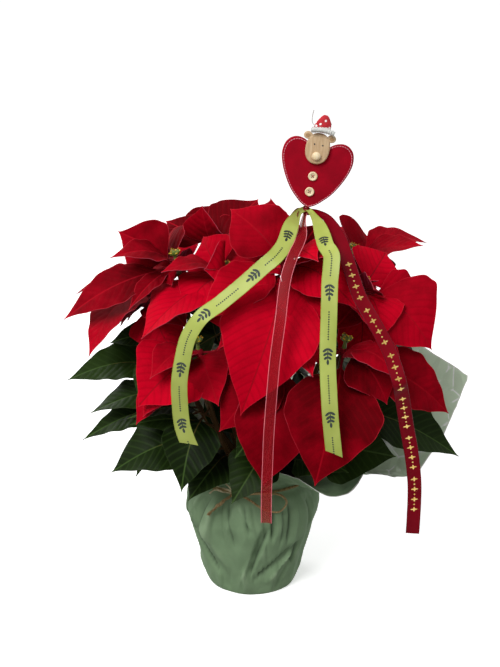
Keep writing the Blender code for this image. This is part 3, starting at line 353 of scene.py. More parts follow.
def bead(gather, middle, half_sizes, turn=None, kind=0, around=12, rings=7):
    """A small closed ellipsoid."""
    turn = np.eye(3) if turn is None else np.array(turn)
    slopes = np.pi * (np.arange(rings) + 0.5) / rings
    points = [polar(math.sin(p), a, math.cos(p)) for p in slopes for a in circle(around)]
    points = np.array(points) * np.array(half_sizes) @ turn.T + np.array(middle)
    faces = [face[:1] + face[:0:-1] for face in ring_faces(rings, around)]
    faces += [face[::-1] for face in ring_faces(rings, around, capped=True)[-2:]]
    gather.add(points, faces, kind)


def patch(gather, top, under, kind):
    """A thin flat patch between two outlines that have as many points as each other."""
    count = len(top)
    faces = [tuple(range(count)), tuple(range(2 * count - 1, count - 1, -1))]
    faces += [(k, k + count, (k + 1) % count + count, (k + 1) % count) for k in range(count)]
    gather.add([tuple(point) for point in (*top, *under)], faces, kind)


# %% [markdown]
# How the plant is laid out. Each stem ends in a head: a ring of coloured bracts round the small
# true flowers. The bracts that face the viewer are placed one by one by their tips, and the
# rest are set round each head by the golden angle, as the plant itself does. The numbers are
# the same driving dimensions that the solids were made from.

# %% Layout of heads and leaves
HEADS = {
    "centre": ((0.036, -0.062, 0.394), (
        ((-0.053, -0.142, 0.355), 0.054, 0.10, 0.2),
        ((-0.034, -0.152, 0.337), 0.054, 0.10, 0.2),
        ((0.070, -0.128, 0.420), 0.062, 0.06, 0.4),
        ((0.104, -0.126, 0.366), 0.068, 0.22, 0.9),
        ((-0.012, -0.150, 0.262), 0.100, 0.26, 1.2),
        ((0.074, -0.136, 0.322), 0.062, 0.22, 0.9),
        ((0.044, 0.014, 0.450), 0.062, 0.05, 1.2),
        ((-0.022, -0.014, 0.436), 0.070, 0.14, 1.0),
    ), 1, 0.085, 24),
    "lower_centre": ((0.034, -0.094, 0.316), (
        ((0.013, -0.160, 0.186), 0.080, 0.20, 1.2),
        ((-0.034, -0.130, 0.236), 0.064, 0.16, 0.6),
    ), 3, 0.075, -6),
    "lower_right": ((0.094, -0.098, 0.312), (
        ((0.063, -0.166, 0.192), 0.100, 0.22, 1.2),
        ((0.137, -0.130, 0.266), 0.070, 0.24, 0.9),
        ((0.209, -0.082, 0.237), 0.062, 0.14, 1.0),
        ((0.128, -0.134, 0.312), 0.040, 0.20, 0.5),
    ), 1, 0.085, 4),
    "right": ((0.114, -0.052, 0.362), (
        ((0.186, -0.092, 0.312), 0.094, 0.22, 1.3),
        ((0.192, -0.008, 0.332), 0.060, 0.18, 0.6),
        ((0.126, -0.118, 0.322), 0.060, 0.20, 0.9),
        ((0.152, 0.000, 0.392), 0.070, 0.10, 1.0),
        ((0.098, -0.020, 0.290), 0.066, 0.20, 1.4),
    ), 0, 0.090, 12),
    "lower_left": ((-0.056, -0.078, 0.304), (
        ((-0.117, -0.126, 0.262), 0.086, 0.22, 1.2),
        ((-0.113, -0.120, 0.248), 0.062, 0.14, 0.4),
        ((-0.121, -0.112, 0.236), 0.050, 0.12, 0.2),
        ((-0.034, -0.140, 0.268), 0.064, 0.20, 0.9),
    ), 2, 0.080, -4),
    "upper_left": ((-0.080, -0.026, 0.384), (
        ((-0.144, -0.012, 0.419), 0.064, 0.08, 1.4),
        ((-0.201, -0.052, 0.332), 0.052, 0.14, 1.0),
        ((-0.128, -0.082, 0.352), 0.026, 0.10, 0.4),
        ((-0.084, -0.062, 0.372), 0.036, 0.20, 0.4),
        ((-0.088, 0.040, 0.410), 0.052, 0.12, 0.8),
    ), 1, 0.080, 14),
    "left": ((-0.104, 0.012, 0.342), (
        ((-0.173, -0.072, 0.297), 0.064, 0.22, 0.9),
        ((-0.176, 0.050, 0.300), 0.072, 0.18, 0.2),
        ((-0.136, 0.110, 0.318), 0.076, 0.18, 0.0),
        ((-0.078, -0.034, 0.286), 0.070, 0.20, 1.2),
    ), 2, 0.095, -2),
    "middle_left": ((-0.028, -0.034, 0.374), (
        ((-0.117, -0.112, 0.352), 0.080, 0.12, 0.1),
        ((-0.066, -0.066, 0.394), 0.062, 0.18, 0.8),
        ((-0.050, -0.100, 0.390), 0.062, 0.16, 0.5),
        ((-0.060, -0.010, 0.418), 0.064, 0.10, 1.2),
        ((-0.004, -0.076, 0.316), 0.060, 0.20, 1.2),
    ), 1, 0.080, 12),
    "top": ((-0.042, 0.040, 0.388), (
        ((-0.055, 0.022, 0.440), 0.060, 0.10, 1.6),
        ((-0.028, 0.092, 0.434), 0.086, 0.12, 1.4),
        ((0.008, 0.080, 0.432), 0.086, 0.12, 1.6),
        ((-0.098, 0.078, 0.404), 0.060, 0.10, 0.8),
        ((-0.014, 0.030, 0.428), 0.060, 0.10, 1.2),
        ((-0.026, 0.000, 0.314), 0.084, 0.22, 1.4),
    ), 2, 0.100, 4),
    "top_right": ((0.112, 0.048, 0.372), (
        ((0.186, 0.014, 0.402), 0.062, 0.06, 0.8),
        ((0.142, 0.088, 0.404), 0.090, 0.10, 1.2),
        ((0.080, 0.098, 0.408), 0.078, 0.12, 1.2),
        ((0.078, 0.014, 0.312), 0.084, 0.20, 1.4),
    ), 2, 0.100, 6),
    "back_left": ((-0.066, 0.112, 0.332), (), 6, 0.112, 10),
    "back_right": ((0.078, 0.116, 0.322), (), 6, 0.112, 6),
}
LEAVES = (
    ("left", 0.62, (-0.205, -0.020, 0.252), 0.060, 0.14, 0.5),
    ("left", 0.74, (-0.126, -0.070, 0.262), 0.050, 0.20, 1.0),
    ("lower_left", 0.55, (-0.130, -0.092, 0.228), 0.030, 0.14, 0.6),
    ("left", 0.50, (-0.178, -0.044, 0.222), 0.058, 0.12, 0.6),
    ("left", 0.42, (-0.190, -0.030, 0.184), 0.044, 0.16, 0.6),
    ("lower_left", 0.46, (-0.152, -0.086, 0.170), 0.074, 0.16, 0.8),
    ("lower_left", 0.62, (-0.132, -0.106, 0.212), 0.040, 0.14, -0.2),
    ("lower_left", 0.36, (-0.104, -0.060, 0.168), 0.050, 0.18, 0.8),
    ("lower_left", 0.70, (-0.074, -0.134, 0.170), 0.062, 0.20, 1.2),
    ("lower_left", 0.30, (-0.068, -0.114, 0.150), 0.066, 0.24, 1.2),
    ("lower_centre", 0.62, (-0.018, -0.134, 0.208), 0.052, 0.18, 1.2),
    ("lower_centre", 0.40, (-0.022, -0.122, 0.150), 0.058, 0.20, 1.2),
    ("right", 0.50, (0.230, -0.044, 0.170), 0.074, 0.12, 0.9),
    ("lower_right", 0.50, (0.151, -0.112, 0.200), 0.082, 0.14, 1.1),
    ("lower_right", 0.34, (0.100, -0.130, 0.190), 0.060, 0.16, 1.2),
)
RULED_LEAVES = {
    "back_left": (4, 0.125), "back_right": (4, 0.125), "top_right": (3, 0.115), "top": (3, 0.105),
    "right": (3, 0.115), "lower_right": (2, 0.100), "left": (3, 0.110), "upper_left": (3, 0.100),
    "lower_centre": (2, 0.090), "centre": (3, 0.090), "middle_left": (3, 0.090),
}
LEAF_FROM, LEAF_TO = 0.40, 0.78
BRACT_OUTLINE = ((0, 0), (0.13, 0), (0.30, 0.72), (0.50, 1.0), (0.78, 0.56), (1, 0))
LEAF_OUTLINE = ((0, 0), (0.22, 0), (0.37, 0.74), (0.56, 1.0), (0.80, 0.52), (1, 0))
BACK_OUTLINE = ((0, 0), (0.16, 0), (0.36, 0.84), (0.62, 0.88), (1, 0))
SOIL_LEVEL, TRUNK_TOP, TRUNK_RADIUS = 0.1030, 0.1700, 0.0075
STEM_RADIUS, HUB_RADIUS, GAP = 0.0030, 0.0058, 0.0004
BLADE, ROOT_WIDTH, TIP_WIDTH = 0.0008, 0.0026, 0.0008
UP, FRONT = Vector((0, 0, 1)), Vector((0, -1, 0))
GOLDEN_ANGLE = math.radians(137.5)


# %% [markdown]
# From those numbers follow the routes of the stems and where each blade grows. Each stem starts
# on the woody foot in the pot's middle, and the stem of a low, wide head starts further down.

# %% Routes of the stems and every blade
def head_axis(middle):
    """A head faces up and a little outward."""
    return (UP + 0.22 * Vector((middle[0], middle[1], 0)).normalized()).normalized()


STEM_ORDER = sorted(HEADS, key=lambda n: HEADS[n][0][2] - 1.2 * Vector(HEADS[n][0][:2]).length)


def stem_bend(name):
    """The four points that bend a stem from the trunk up to just under its head."""
    middle = Vector(HEADS[name][0])
    out = Vector((middle.x, middle.y, 0)).normalized()
    level = 0.118 + (TRUNK_TOP - 0.126) * STEM_ORDER.index(name) / (len(STEM_ORDER) - 1)
    start = UP * level + out * (TRUNK_RADIUS + GAP + STEM_RADIUS * 0.75)
    end = middle - head_axis(middle) * (HUB_RADIUS + GAP)
    reach = (end - start).length
    return [start, start + (out + 0.9 * UP).normalized() * 0.30 * reach,
            end - head_axis(middle) * 0.40 * reach, end]


def stem_route(name, steps=5):
    route = []
    for k in range(steps + 1):
        row = stem_bend(name)
        while len(row) > 1:
            row = [a.lerp(b, k / steps) for a, b in zip(row, row[1:])]
        route.append(row[0])
    return route


def along_route(route, share):
    place = share * (len(route) - 1)
    i = min(int(place), len(route) - 2)
    return route[i].lerp(route[i + 1], place - i)


def ruled_bract(middle, k, length, pitch):
    turn = math.atan2(middle.y, middle.x) + k * GOLDEN_ANGLE
    drop = math.radians(pitch - 5 * k)
    way = Vector((math.cos(turn) * math.cos(drop), math.sin(turn) * math.cos(drop), math.sin(drop)))
    reach = length * (1 + 0.03 * k)
    return middle, middle + way * reach, 0.58 * reach, 0.18, 0.2


def ruled_leaf(route, k, count, length):
    base = along_route(route, LEAF_FROM + (LEAF_TO - LEAF_FROM) * k / max(count - 1, 1))
    out = math.atan2(base.y, base.x)
    swing = out + (math.radians(70) * math.sin(2.4 * k + 0.8) if k % 2 == 0 else k * GOLDEN_ANGLE)
    drop = math.radians(-28)
    way = Vector((math.cos(swing) * math.cos(drop), math.sin(swing) * math.cos(drop), math.sin(drop)))
    return base, base + way * length, 0.56 * length, 0.16, 0.2


def every_blade():
    """Each blade's node, whether it is listed one by one, its spec and its outline, in order."""
    for name, (middle, shown, *_) in HEADS.items():
        for tip, width, arch, face in shown:
            outline = BRACT_OUTLINE if tip[1] < -0.03 else BACK_OUTLINE
            yield "bracts_" + name, True, (Vector(middle), Vector(tip), width, arch, face), outline
    for name, share, tip, width, arch, face in LEAVES:
        spec = (along_route(stem_route(name), share), Vector(tip), width, arch, face)
        yield "leafy_stem_" + name, True, spec, LEAF_OUTLINE
    for name, (middle, _, count, length, pitch) in HEADS.items():
        for k in range(count):
            yield "bracts_" + name, False, ruled_bract(Vector(middle), k, length, pitch), BACK_OUTLINE
    for name, (count, length) in RULED_LEAVES.items():
        for k in range(count):
            yield "leafy_stem_" + name, False, ruled_leaf(stem_route(name), k, count, length), BACK_OUTLINE


# %% [markdown]
# A growing plant's blades push each other aside. In the frame each blade has been bent by the
# smallest turn that clears its neighbours, so before a fine blade is made here, its turn is
# found again: of the possible turns, the right one puts its points on the solid's own points.

# %% Finding how each blade is bent
TURNS = [(pitch, yaw) for pitch in range(-32, 33, 4) for yaw in range(-30, 31, 6)]
MATCH = 0.00012


class Blade:
    """One bract or leaf: its own axes, and the fold, sway, wave and twist that its number gives."""

    def __init__(self, node, number, spec, outline, shown):
        self.node, self.number, self.outline, self.shown = node, number, outline, shown
        self.base, self.tip, self.width, self.arch, self.face = spec
        self.chord = self.tip - self.base
        self.length = self.chord.length
        self.fold = 0.14 + 0.10 * math.sin(1.7 * number)
        self.sway = 0.035 * self.length * math.sin(2.4 * number)
        self.wave = 0.030 * self.width
        self.twist = math.radians(14) * math.sin(3.1 * number)
        self.set_turn((0, 0))

    def set_turn(self, turn):
        out = Vector((self.base.x + self.tip.x, self.base.y + self.tip.y, 0)).normalized()
        hint = UP + 0.8 * out + self.face * FRONT
        along = self.chord / self.length
        side = along.cross(hint).normalized()
        swing = Matrix.Rotation(math.radians(turn[0]), 3, side)
        swing = swing @ Matrix.Rotation(math.radians(turn[1]), 3, "Z")
        self.along, self.side = swing @ along, swing @ side
        self.normal = self.side.cross(self.along)

    def surface(self, u, q, half, lift):
        """Points at these places along and across the blade, as arrays."""
        along, side, normal = (np.array(v) for v in (self.along, self.side, self.normal))
        rise = np.sin(np.pi * u)
        middle = np.array(self.base) + np.multiply.outer(self.length * u, along)
        middle = middle + np.multiply.outer(self.arch * self.length * rise, normal)
        middle = middle + np.multiply.outer(self.sway * rise, side)
        angle = self.twist * u
        across = np.multiply.outer(np.cos(angle), side) - np.multiply.outer(np.sin(angle), normal)
        above = np.multiply.outer(np.cos(angle), normal) + np.multiply.outer(np.sin(angle), side)
        return middle + across * (half * q)[..., None] + above * lift[..., None]

    def coarse(self):
        """The solid's own middle points past the stalk, three to a row."""
        rows = [(u, share) for u, share in self.outline if share > 0 or u > 0.5]
        u, q = np.meshgrid([r[0] for r in rows], (-1.0, 0.0, 1.0), indexing="ij")
        share = np.array([[r[1]] * 3 for r in rows])
        half = np.maximum(share * self.width, np.where(u < 0.5, ROOT_WIDTH, TIP_WIDTH)) / 2
        lift = self.fold * half * abs(q)
        lift = lift + self.wave * share * abs(q) * np.sin(9.4 * u + self.number + 1.3 * q)
        return self.surface(u, q, half, lift).reshape(-1, 3)

    def find_turn(self, tree):
        """Sets the turn whose points lie half a blade's thickness from the solid's points."""
        best, best_turn = 1.0, None
        for turn in TURNS:
            self.set_turn(turn)
            points = self.coarse()
            if abs(tree.find(points[-2])[2] - BLADE / 2) > 6 * MATCH:
                continue
            off = np.mean(np.sort([abs(tree.find(p)[2] - BLADE / 2) for p in points])[:9])
            if off < best:
                best, best_turn = off, turn
        if best_turn is None or best > MATCH:
            return False
        self.set_turn(best_turn)
        return True


def tree_of(node):
    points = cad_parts[node].data.vertices
    tree = KDTree(len(points))
    for k, point in enumerate(points):
        tree.insert(point.co, k)
    tree.balance()
    return tree


trees, blades, missing = {}, {}, []
for number, (node, by_hand, spec, outline) in enumerate(every_blade(), 1):
    if node not in trees:
        trees[node] = tree_of(node)
    blade = Blade(node, number, spec, outline, by_hand)
    if blade.find_turn(trees[node]):
        blades.setdefault(node, []).append(blade)
    elif by_hand:
        missing.append((number, node))
print("blades found:", sum(map(len, blades.values())), "of", number)
print("placed by hand but not found:", missing)

# %% [markdown]
# A poinsettia bract is a coloured leaf: thin, soft and faintly velvety, with a sunk midrib and
# seven or eight pairs of side veins that run forward to the edge, and between the veins the
# blade swells a little. It could be one flat card with a bump map, but the outline, the
# quilting and the ruffled edge catch the light differently from every side, so they are shape.
# Colour, fine net and the sheen of the short hairs are left to the material.

# %% Fine blades
VEIN_SPACING, VEIN_SLANT = 0.0095, 0.80
BLADE_THIN = 0.00045
QUILT_HEIGHT = 0.00090      # how far a blade swells between its veins
MIDRIB_DEPTH, MIDRIB_HALF = 0.00050, 0.0011
RUFFLE_HEIGHT, RUFFLE_LENGTH = 0.0011, 0.021
STALK_POINTS = 22


def outline_share(outline, u):
    """A smooth outline through the coarse one's points, drawn out to a fine point at the tip."""
    at = np.array([p[0] for p in outline[1:]])
    value = np.array([p[1] for p in outline[1:]])
    slope = np.gradient(value, at)
    slope[0], slope[-1] = 1.2, -1.1
    k = np.clip(np.searchsorted(at, u, side="right") - 1, 0, len(at) - 2)
    span = at[k + 1] - at[k]
    t = np.clip((u - at[k]) / span, 0, 1)
    smooth = ((2 * t ** 3 - 3 * t ** 2 + 1) * value[k] + (t ** 3 - 2 * t ** 2 + t) * span * slope[k]
              + (-2 * t ** 3 + 3 * t ** 2) * value[k + 1] + (t ** 3 - t ** 2) * span * slope[k + 1])
    return np.clip(smooth, 0, 1.02)


def add_blade(gather, blade, rows, columns, tone, lobes):
    """A fine blade with its finish numbers 0 above, 1 below and 2 on its stalk."""
    start = blade.outline[1][0] - 0.015
    seed = blade.number
    u, q = np.meshgrid(start + (1 - start) * np.linspace(0, 1, rows), np.linspace(-1, 1, columns),
                       indexing="ij")
    share = outline_share(blade.outline, u)
    lobe = np.sin(2 * np.pi * (u * 2.4 + 0.13 * seed + 0.2 * np.sign(q)))
    edge = 1 + lobes * (np.maximum(0, lobe) ** 3 - 0.35)
    edge = edge + 0.012 * np.sin(u * 41 + seed * 1.9 + q)
    half = np.maximum(share * blade.width * edge, np.where(u < 0.5, ROOT_WIDTH, TIP_WIDTH)) / 2
    across = half * abs(q)
    bend = 0.22 * across ** 2 / np.maximum(half, 0.002)
    vein = (blade.length * u - VEIN_SLANT * across - bend) / VEIN_SPACING
    soft = np.sqrt(q ** 2 + 0.012) - math.sqrt(0.012)
    lift = blade.fold * half * soft + blade.wave * share * abs(q) * np.sin(9.4 * u + seed + 1.3 * q)
    inside = np.clip(share, 0, 1) * np.clip((1 - abs(q)) * 5, 0, 1) * np.clip(across / 0.003, 0, 1)
    lift = lift + QUILT_HEIGHT * inside * (abs(np.sin(np.pi * vein)) ** 0.7 - 0.6)
    lift = lift - MIDRIB_DEPTH * np.exp(-(across / MIDRIB_HALF) ** 2) * np.clip((1 - u) * 4, 0, 1)
    ruffle = np.sin(2 * np.pi * blade.length * u / RUFFLE_LENGTH + 2 * seed + 2.5 * np.sign(q))
    lift = lift + RUFFLE_HEIGHT * share * q ** 4 * ruffle
    grid = blade.surface(u, q, half, lift)
    # The tone mark carries painted shade: it falls towards the blade's foot, so the blade is drawn darker
    # there.
    marks = np.stack([across * 1000, vein, tone + 0.5 * (u - 0.65), (half - across) * 1000], -1)
    add_sheet(gather, grid[:, ::-1], BLADE_THIN, (0, 1, 1), marks[:, ::-1])
    places, none = np.linspace(0, 0.97, STALK_POINTS), np.zeros(STALK_POINTS)
    line = blade.surface(places, none, none, -0.0004 - 0.0003 * (places > start))
    thick = np.interp(places, (0, start, start + 0.1, 0.97), (0.00125, 0.00115, 0.0008, 0.00022))
    sweep(gather, line, thick, sides=7, kind=2)


# %% [markdown]
# The upper side of a bract is a saturated crimson, with painted shade that darkens it towards
# its foot. Its skin is a dense coat of minute hairs, so it has almost no mirror shine. Side veins
# show as soft darker bands, and along the cut-like edge runs a thin paler rim, a painted
# highlight. The underside is paler, a dusty rose with raised veins. The green leaves are darker
# and a little waxy, with the same painted highlight along their edge.

# %% Bract finishes
def vein_lines(tree, width_mm, midrib_mm):
    """Two masks from a blade's own marks, one on the side veins and one on the midrib, with the
    tone. A real side vein is 0.2 mm wide, which is too fine to show, so it is drawn wider."""
    marks = add(tree, "Attribute", {"attribute_name": "mark"}).outputs["Vector"]
    split = add(tree, "SeparateXYZ", {}, {0: marks})
    near = add(tree, "Math", {"operation": "PINGPONG", 1: 0.5}, {0: split.outputs["Y"]})
    soft = {"interpolation_type": "SMOOTHSTEP", "To Min": 1.0, "To Max": 0.0}
    side = add(tree, "MapRange", {**soft, "From Max": width_mm / 1000 / VEIN_SPACING}, {"Value": near})
    rib = add(tree, "MapRange", {**soft, "From Min": 0.3 * midrib_mm, "From Max": midrib_mm},
              {"Value": split.outputs["X"]})
    return side, rib, split.outputs["Z"]


def blade_finish(name, dark, light, vein, rib, vein_strength, settings, rim=None):
    """A leaf skin: two shades mixed by tone and mottling, where the tone also carries painted
    shade, with veins, a midrib and a painted edge highlight drawn over them, and fine cell relief."""
    made, tree, shader = new_finish(name, **settings)
    side_mask, rib_mask, tone = vein_lines(tree, 2.4, 1.2)
    where = add(tree, "TexCoord").outputs["Object"]
    mottle = add(tree, "TexNoise", {"Scale": 34.0, "Detail": 4.0, "Roughness": 0.6}, {"Vector": where})
    mixed = add(tree, "Math", {"operation": "MULTIPLY_ADD", 1: 1.1}, {0: mottle, 2: tone})
    shade = add(tree, "Mix", {"data_type": "RGBA", 6: linear(dark), 7: linear(light)}, {0: mixed})
    weak = add(tree, "Math", {"operation": "MULTIPLY", 1: vein_strength}, {0: side_mask})
    # Painted highlight: a paler rim along the blade's edge. On stalks, whose inset is 0, it lightens the
    # whole surface.
    inset = add(tree, "Attribute", {"attribute_name": "inset"})
    edge_highlight = add(tree, "MapRange", {"From Min": 0.25, "From Max": 0.85, "To Min": 0.45, "To Max": 0.0},
                    {"Value": inset.outputs["Fac"]})
    for mask, colour in ((weak, vein), (rib_mask, rib), (edge_highlight, rim or light)):
        shade = add(tree, "Mix", {"data_type": "RGBA", 7: linear(colour)}, {0: mask, 6: shade})
    net = add(tree, "TexVoronoi", {"Scale": 900.0, "feature": "F1"}, {"Vector": where}).outputs["Distance"]
    height = add(tree, "Math", {"operation": "MULTIPLY_ADD", 1: -0.8}, {0: side_mask, 2: net})
    cover(tree, shader, shade, height, 0.25, 0.0004)
    return made


velvet = {"Roughness": 0.72, "IOR": 1.35, "Specular_IOR_Level": 0.06}
waxy = {"Roughness": 0.42, "IOR": 1.38, "Specular_IOR_Level": 0.08}
# The last colour of a blade finish is its painted edge highlight.
bract_top = blade_finish("bract velvet skin", "#5E0008", "#C60020", "#80000F", "#A0081A", 0.24, velvet,
                         "#D8303E")
bract_under = blade_finish("bract underside", "#7C1026", "#9E2038", "#B04058", "#A83850", 0.5,
                           {**velvet, "Roughness": 0.8}, "#C86070")
bract_stalk = blade_finish("bract stalk", "#5A0C18", "#861420", "#861420", "#6E0C18", 0.0, velvet)
leaf_top = blade_finish("waxy leaf skin", "#0D1706", "#223310", "#2E421A", "#3A5024", 0.40, waxy, "#30421E")
leaf_under = blade_finish("leaf underside", "#222C18", "#343F26", "#465234", "#56623E", 0.4,
                          {**waxy, "Roughness": 0.7}, "#465234")
leaf_stalk = blade_finish("leaf stalk", "#46522A", "#6A2E24", "#50502A", "#50502A", 0.0, waxy)
print("blade finishes:", bract_top.name, bract_under.name, leaf_top.name, leaf_under.name)

# %% [markdown]
# With the blades known and their finishes ready, each head and each leafy stem is put together.
# Blades that the picture shows get a fine grid, and the others a coarser one. A stem is a tube
# that narrows upward, with knobs where leaves once sat. Bracts behind the plant's middle are a
# little darker, as in the picture, where they stand in the others' shade.

# %% Heads and leafy stems
SHOWN_GRID, HIDDEN_GRID = (56, 23), (36, 15)


def tone_of(number):
    """A steady pseudo-random tone for a blade, from about -0.4 to 0.4."""
    return 0.4 * math.sin(12.9898 * number)


for name, (middle, *_) in HEADS.items():
    bracts, leaves = Gather(), Gather()
    for blade in blades.get("bracts_" + name, []):
        rows, columns = SHOWN_GRID if blade.shown else HIDDEN_GRID
        # Painted shade: bracts whose tips lie behind the plant's middle are drawn darker.
        shade_behind = 0.25 * min(max(blade.tip.y / 0.05, 0), 1)
        add_blade(bracts, blade, rows, columns, tone_of(blade.number) - shade_behind, 0.02)
    bead(bracts, middle, (0.0052, 0.0052, 0.0050), kind=2)
    for blade in blades.get("leafy_stem_" + name, []):
        rows, columns = SHOWN_GRID if blade.shown else HIDDEN_GRID
        add_blade(leaves, blade, rows, columns, tone_of(blade.number), 0.05)
    route = np.array(stem_route(name, 24))
    share = np.linspace(0, 1, len(route))
    knobs = 1 + 0.16 * np.maximum(0, np.cos(2 * np.pi * share * 7)) ** 6
    sweep(leaves, route, STEM_RADIUS * (1.15 - 0.3 * share) * knobs, sides=12, kind=2)
    bracts.make("bract_blades_" + name, [bract_top, bract_under, bract_stalk], ["bracts_" + name], "bract")
    leaves.make("leaf_blades_" + name, [leaf_top, leaf_under, leaf_stalk], ["leafy_stem_" + name], "leaf")
print("heads dressed:", len(HEADS))

# %% [markdown]
# Between the heads a real plant is closed by small, half-grown leaves and bracts that never
# reach the light. To place each by hand would be slow, so they are tried at seeded random places
# along the stems. First a grid of rays from the camera's place finds the gaps through the plant:
# what no solid covers and the plant closes round. A blade is kept where its middle lies in a
# gap, where none of it stands out past the outline, and where it touches nothing. One group of
# small gaps at the upper left stays open, because there the picture shows the light through.

# %% Half-grown inner blades
TRIES, INNER_GRID = 120000, (18, 9)
CELL, CLOSING = 3, 4        # the size of a ray's cell in pixels, and how wide a way out is closed, in cells
LEFT_OPEN = ((-0.112, 0.012), (0.368, 0.018))      # middle and half size of the open group, across and up
all_points, all_faces = [], []
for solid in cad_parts.values():
    first = len(all_points)
    all_points += [tuple(solid.matrix_world @ v.co) for v in solid.data.vertices]
    all_faces += [tuple(first + k for k in face.vertices) for face in solid.data.polygons]
solid_tree = BVHTree.FromPolygons(all_points, all_faces)
view_up = view_back.cross(Vector((1, 0, 0)))


def cell_of(point):
    """The row and column of the grid of rays that a point lies on, seen from the front."""
    off = point - camera.location
    away = -off.dot(view_back)
    return (int((FRAME_HEIGHT / 2 - FOCAL_PIXELS * off.dot(view_up) / away) / CELL),
            int((FRAME_WIDTH / 2 + FOCAL_PIXELS * off.x / away) / CELL))


def grown(mask, steps):
    """A mask grown by this many cells in four directions."""
    for _ in range(steps):
        wide = np.pad(mask, 1)
        mask = wide[1:-1, 1:-1] | wide[:-2, 1:-1] | wide[2:, 1:-1] | wide[1:-1, :-2] | wide[1:-1, 2:]
    return mask


seen = np.zeros((FRAME_HEIGHT // CELL, FRAME_WIDTH // CELL), bool)
for row, column in np.ndindex(seen.shape):
    across, above = (column + 0.5) * CELL - FRAME_WIDTH / 2, FRAME_HEIGHT / 2 - (row + 0.5) * CELL
    ray = Vector((1, 0, 0)) * across + view_up * above - view_back * FOCAL_PIXELS
    seen[row, column] = solid_tree.ray_cast(camera.location, ray.normalized())[0] is not None
closed = grown(seen, CLOSING)
outside = np.zeros_like(seen)
outside[0] = outside[-1] = outside[:, 0] = outside[:, -1] = True
size = 0
while outside.sum() != size:
    size = outside.sum()
    outside = grown(outside, 1) & ~closed
outside = grown(outside, CLOSING) & ~seen
gaps = ~seen & ~outside
print("cells of the plant:", int(seen.sum()), "and of gaps in it:", int(gaps.sum()))


def padded_shell(blade):
    """The blade past its stalk, 2 mm thick, to test what it would touch."""
    grid = blade.coarse().reshape(-1, 3, 3)
    above = grid_normals(grid) * 0.001
    points = np.concatenate([(grid + side * above).reshape(-1, 3) for side in (1, -1)])
    return [tuple(p) for p in points], sheet_faces(len(grid), 3)[0]


draw = np.random.default_rng(17)
stems = {name: stem_route(name) for name in HEADS}
inner_bracts, inner_leaves = Gather(), Gather()
kept_points, kept_faces, kept, kept_tree = [], [], 0, []
for k in range(TRIES):
    name = list(HEADS)[draw.integers(len(HEADS))]
    is_bract = draw.uniform() < 0.5
    base = Vector(HEADS[name][0]) if is_bract else along_route(stems[name], draw.uniform(0.35, 0.92))
    swing, rise, length = draw.uniform(0, 2 * math.pi), draw.uniform(-0.5, 0.9), draw.uniform(0.028, 0.075)
    way = Vector((math.cos(swing), math.sin(swing), rise)).normalized()
    middle = base + way * length * 0.6
    left_open = all(abs(place - at) < half for place, (at, half) in zip((middle.x, middle.z), LEFT_OPEN))
    covered = any(tree.ray_cast(middle, way_out)[0] for tree in kept_tree
                  for way_out in (view_back, -view_back))
    if left_open or covered or (middle.z > 0.30) != is_bract or not gaps[cell_of(middle)]:
        continue
    tip = base + way * length
    blade = Blade("inner", 1000 + k, (base, tip, 0.55 * length, 0.10, 0.6), BACK_OUTLINE, False)
    points, faces = padded_shell(blade)
    if any(outside[cell_of(Vector(point))] for point in points):
        continue
    shell = BVHTree.FromPolygons(points, faces)
    clear = not solid_tree.overlap(shell) and not any(tree.overlap(shell) for tree in kept_tree)
    if not clear or (not is_bract and solid_tree.ray_cast(base + way * 0.005, way, 0.15 * length)[0]):
        continue
    rows, columns = INNER_GRID
    # Painted shade: the inner blades are drawn darker than the outer ones.
    add_blade(inner_bracts if is_bract else inner_leaves, blade, rows, columns, tone_of(k) - 0.3, 0.02)
    kept_faces += [tuple(len(kept_points) + j for j in face) for face in faces]
    kept_points += points
    kept_tree = [BVHTree.FromPolygons(kept_points, kept_faces)]
    kept += 1
inner_bracts.make("inner_bracts", [bract_top, bract_under, bract_stalk], (), "bract")
inner_leaves.make("inner_leaves", [leaf_top, leaf_under, leaf_stalk], (), "leaf")
print("inner blades kept:", kept, "of", TRIES, "tries")

# %% [markdown]
# The true flowers of a poinsettia are the small green cups in the middle of each head. Each cup
# has a yellow nectar gland like a pair of lips on its side, and a few red threads with yellow
# pollen. They are only millimetres across, but their yellow is what the eye looks for.

# %% True flowers
NECK_RISE, CLUSTER_RADIUS = 0.0085, 0.0036
CUP_OUTLINE = ((0, -0.0034), (0.0014, -0.0031), (0.0024, -0.0014), (0.0026, 0.0004), (0.0022, 0.0020),
               (0.0016, 0.0026), (0.0011, 0.0022), (0, 0.0016))


def skin(name, dark, light, scale, settings, relief=0.15, detail=3.0):
    """A surface of two close shades mixed by soft mottling, with a matching slight relief."""
    made, tree, shader = new_finish(name, **settings)
    where = add(tree, "TexCoord").outputs["Object"]
    mottle = add(tree, "TexNoise", {"Scale": scale, "Detail": detail}, {"Vector": where})
    spread = add(tree, "MapRange", {"From Min": 0.32, "From Max": 0.68}, {"Value": mottle})
    mixed = add(tree, "Mix", {"data_type": "RGBA", 6: linear(dark), 7: linear(light)}, {0: spread})
    cover(tree, shader, mixed, mottle, relief, 0.0006)
    return made


cup_green = skin("flower cup green", "#445A1C", "#7C8A32", 500, {"Roughness": 0.45, "IOR": 1.42})
gland_yellow = skin("nectar gland yellow", "#C99A18", "#E8C53A", 700, {"Roughness": 0.25, "IOR": 1.45})
thread_red = skin("stamen red", "#8E1420", "#C02A30", 500, {"Roughness": 0.5, "IOR": 1.42})


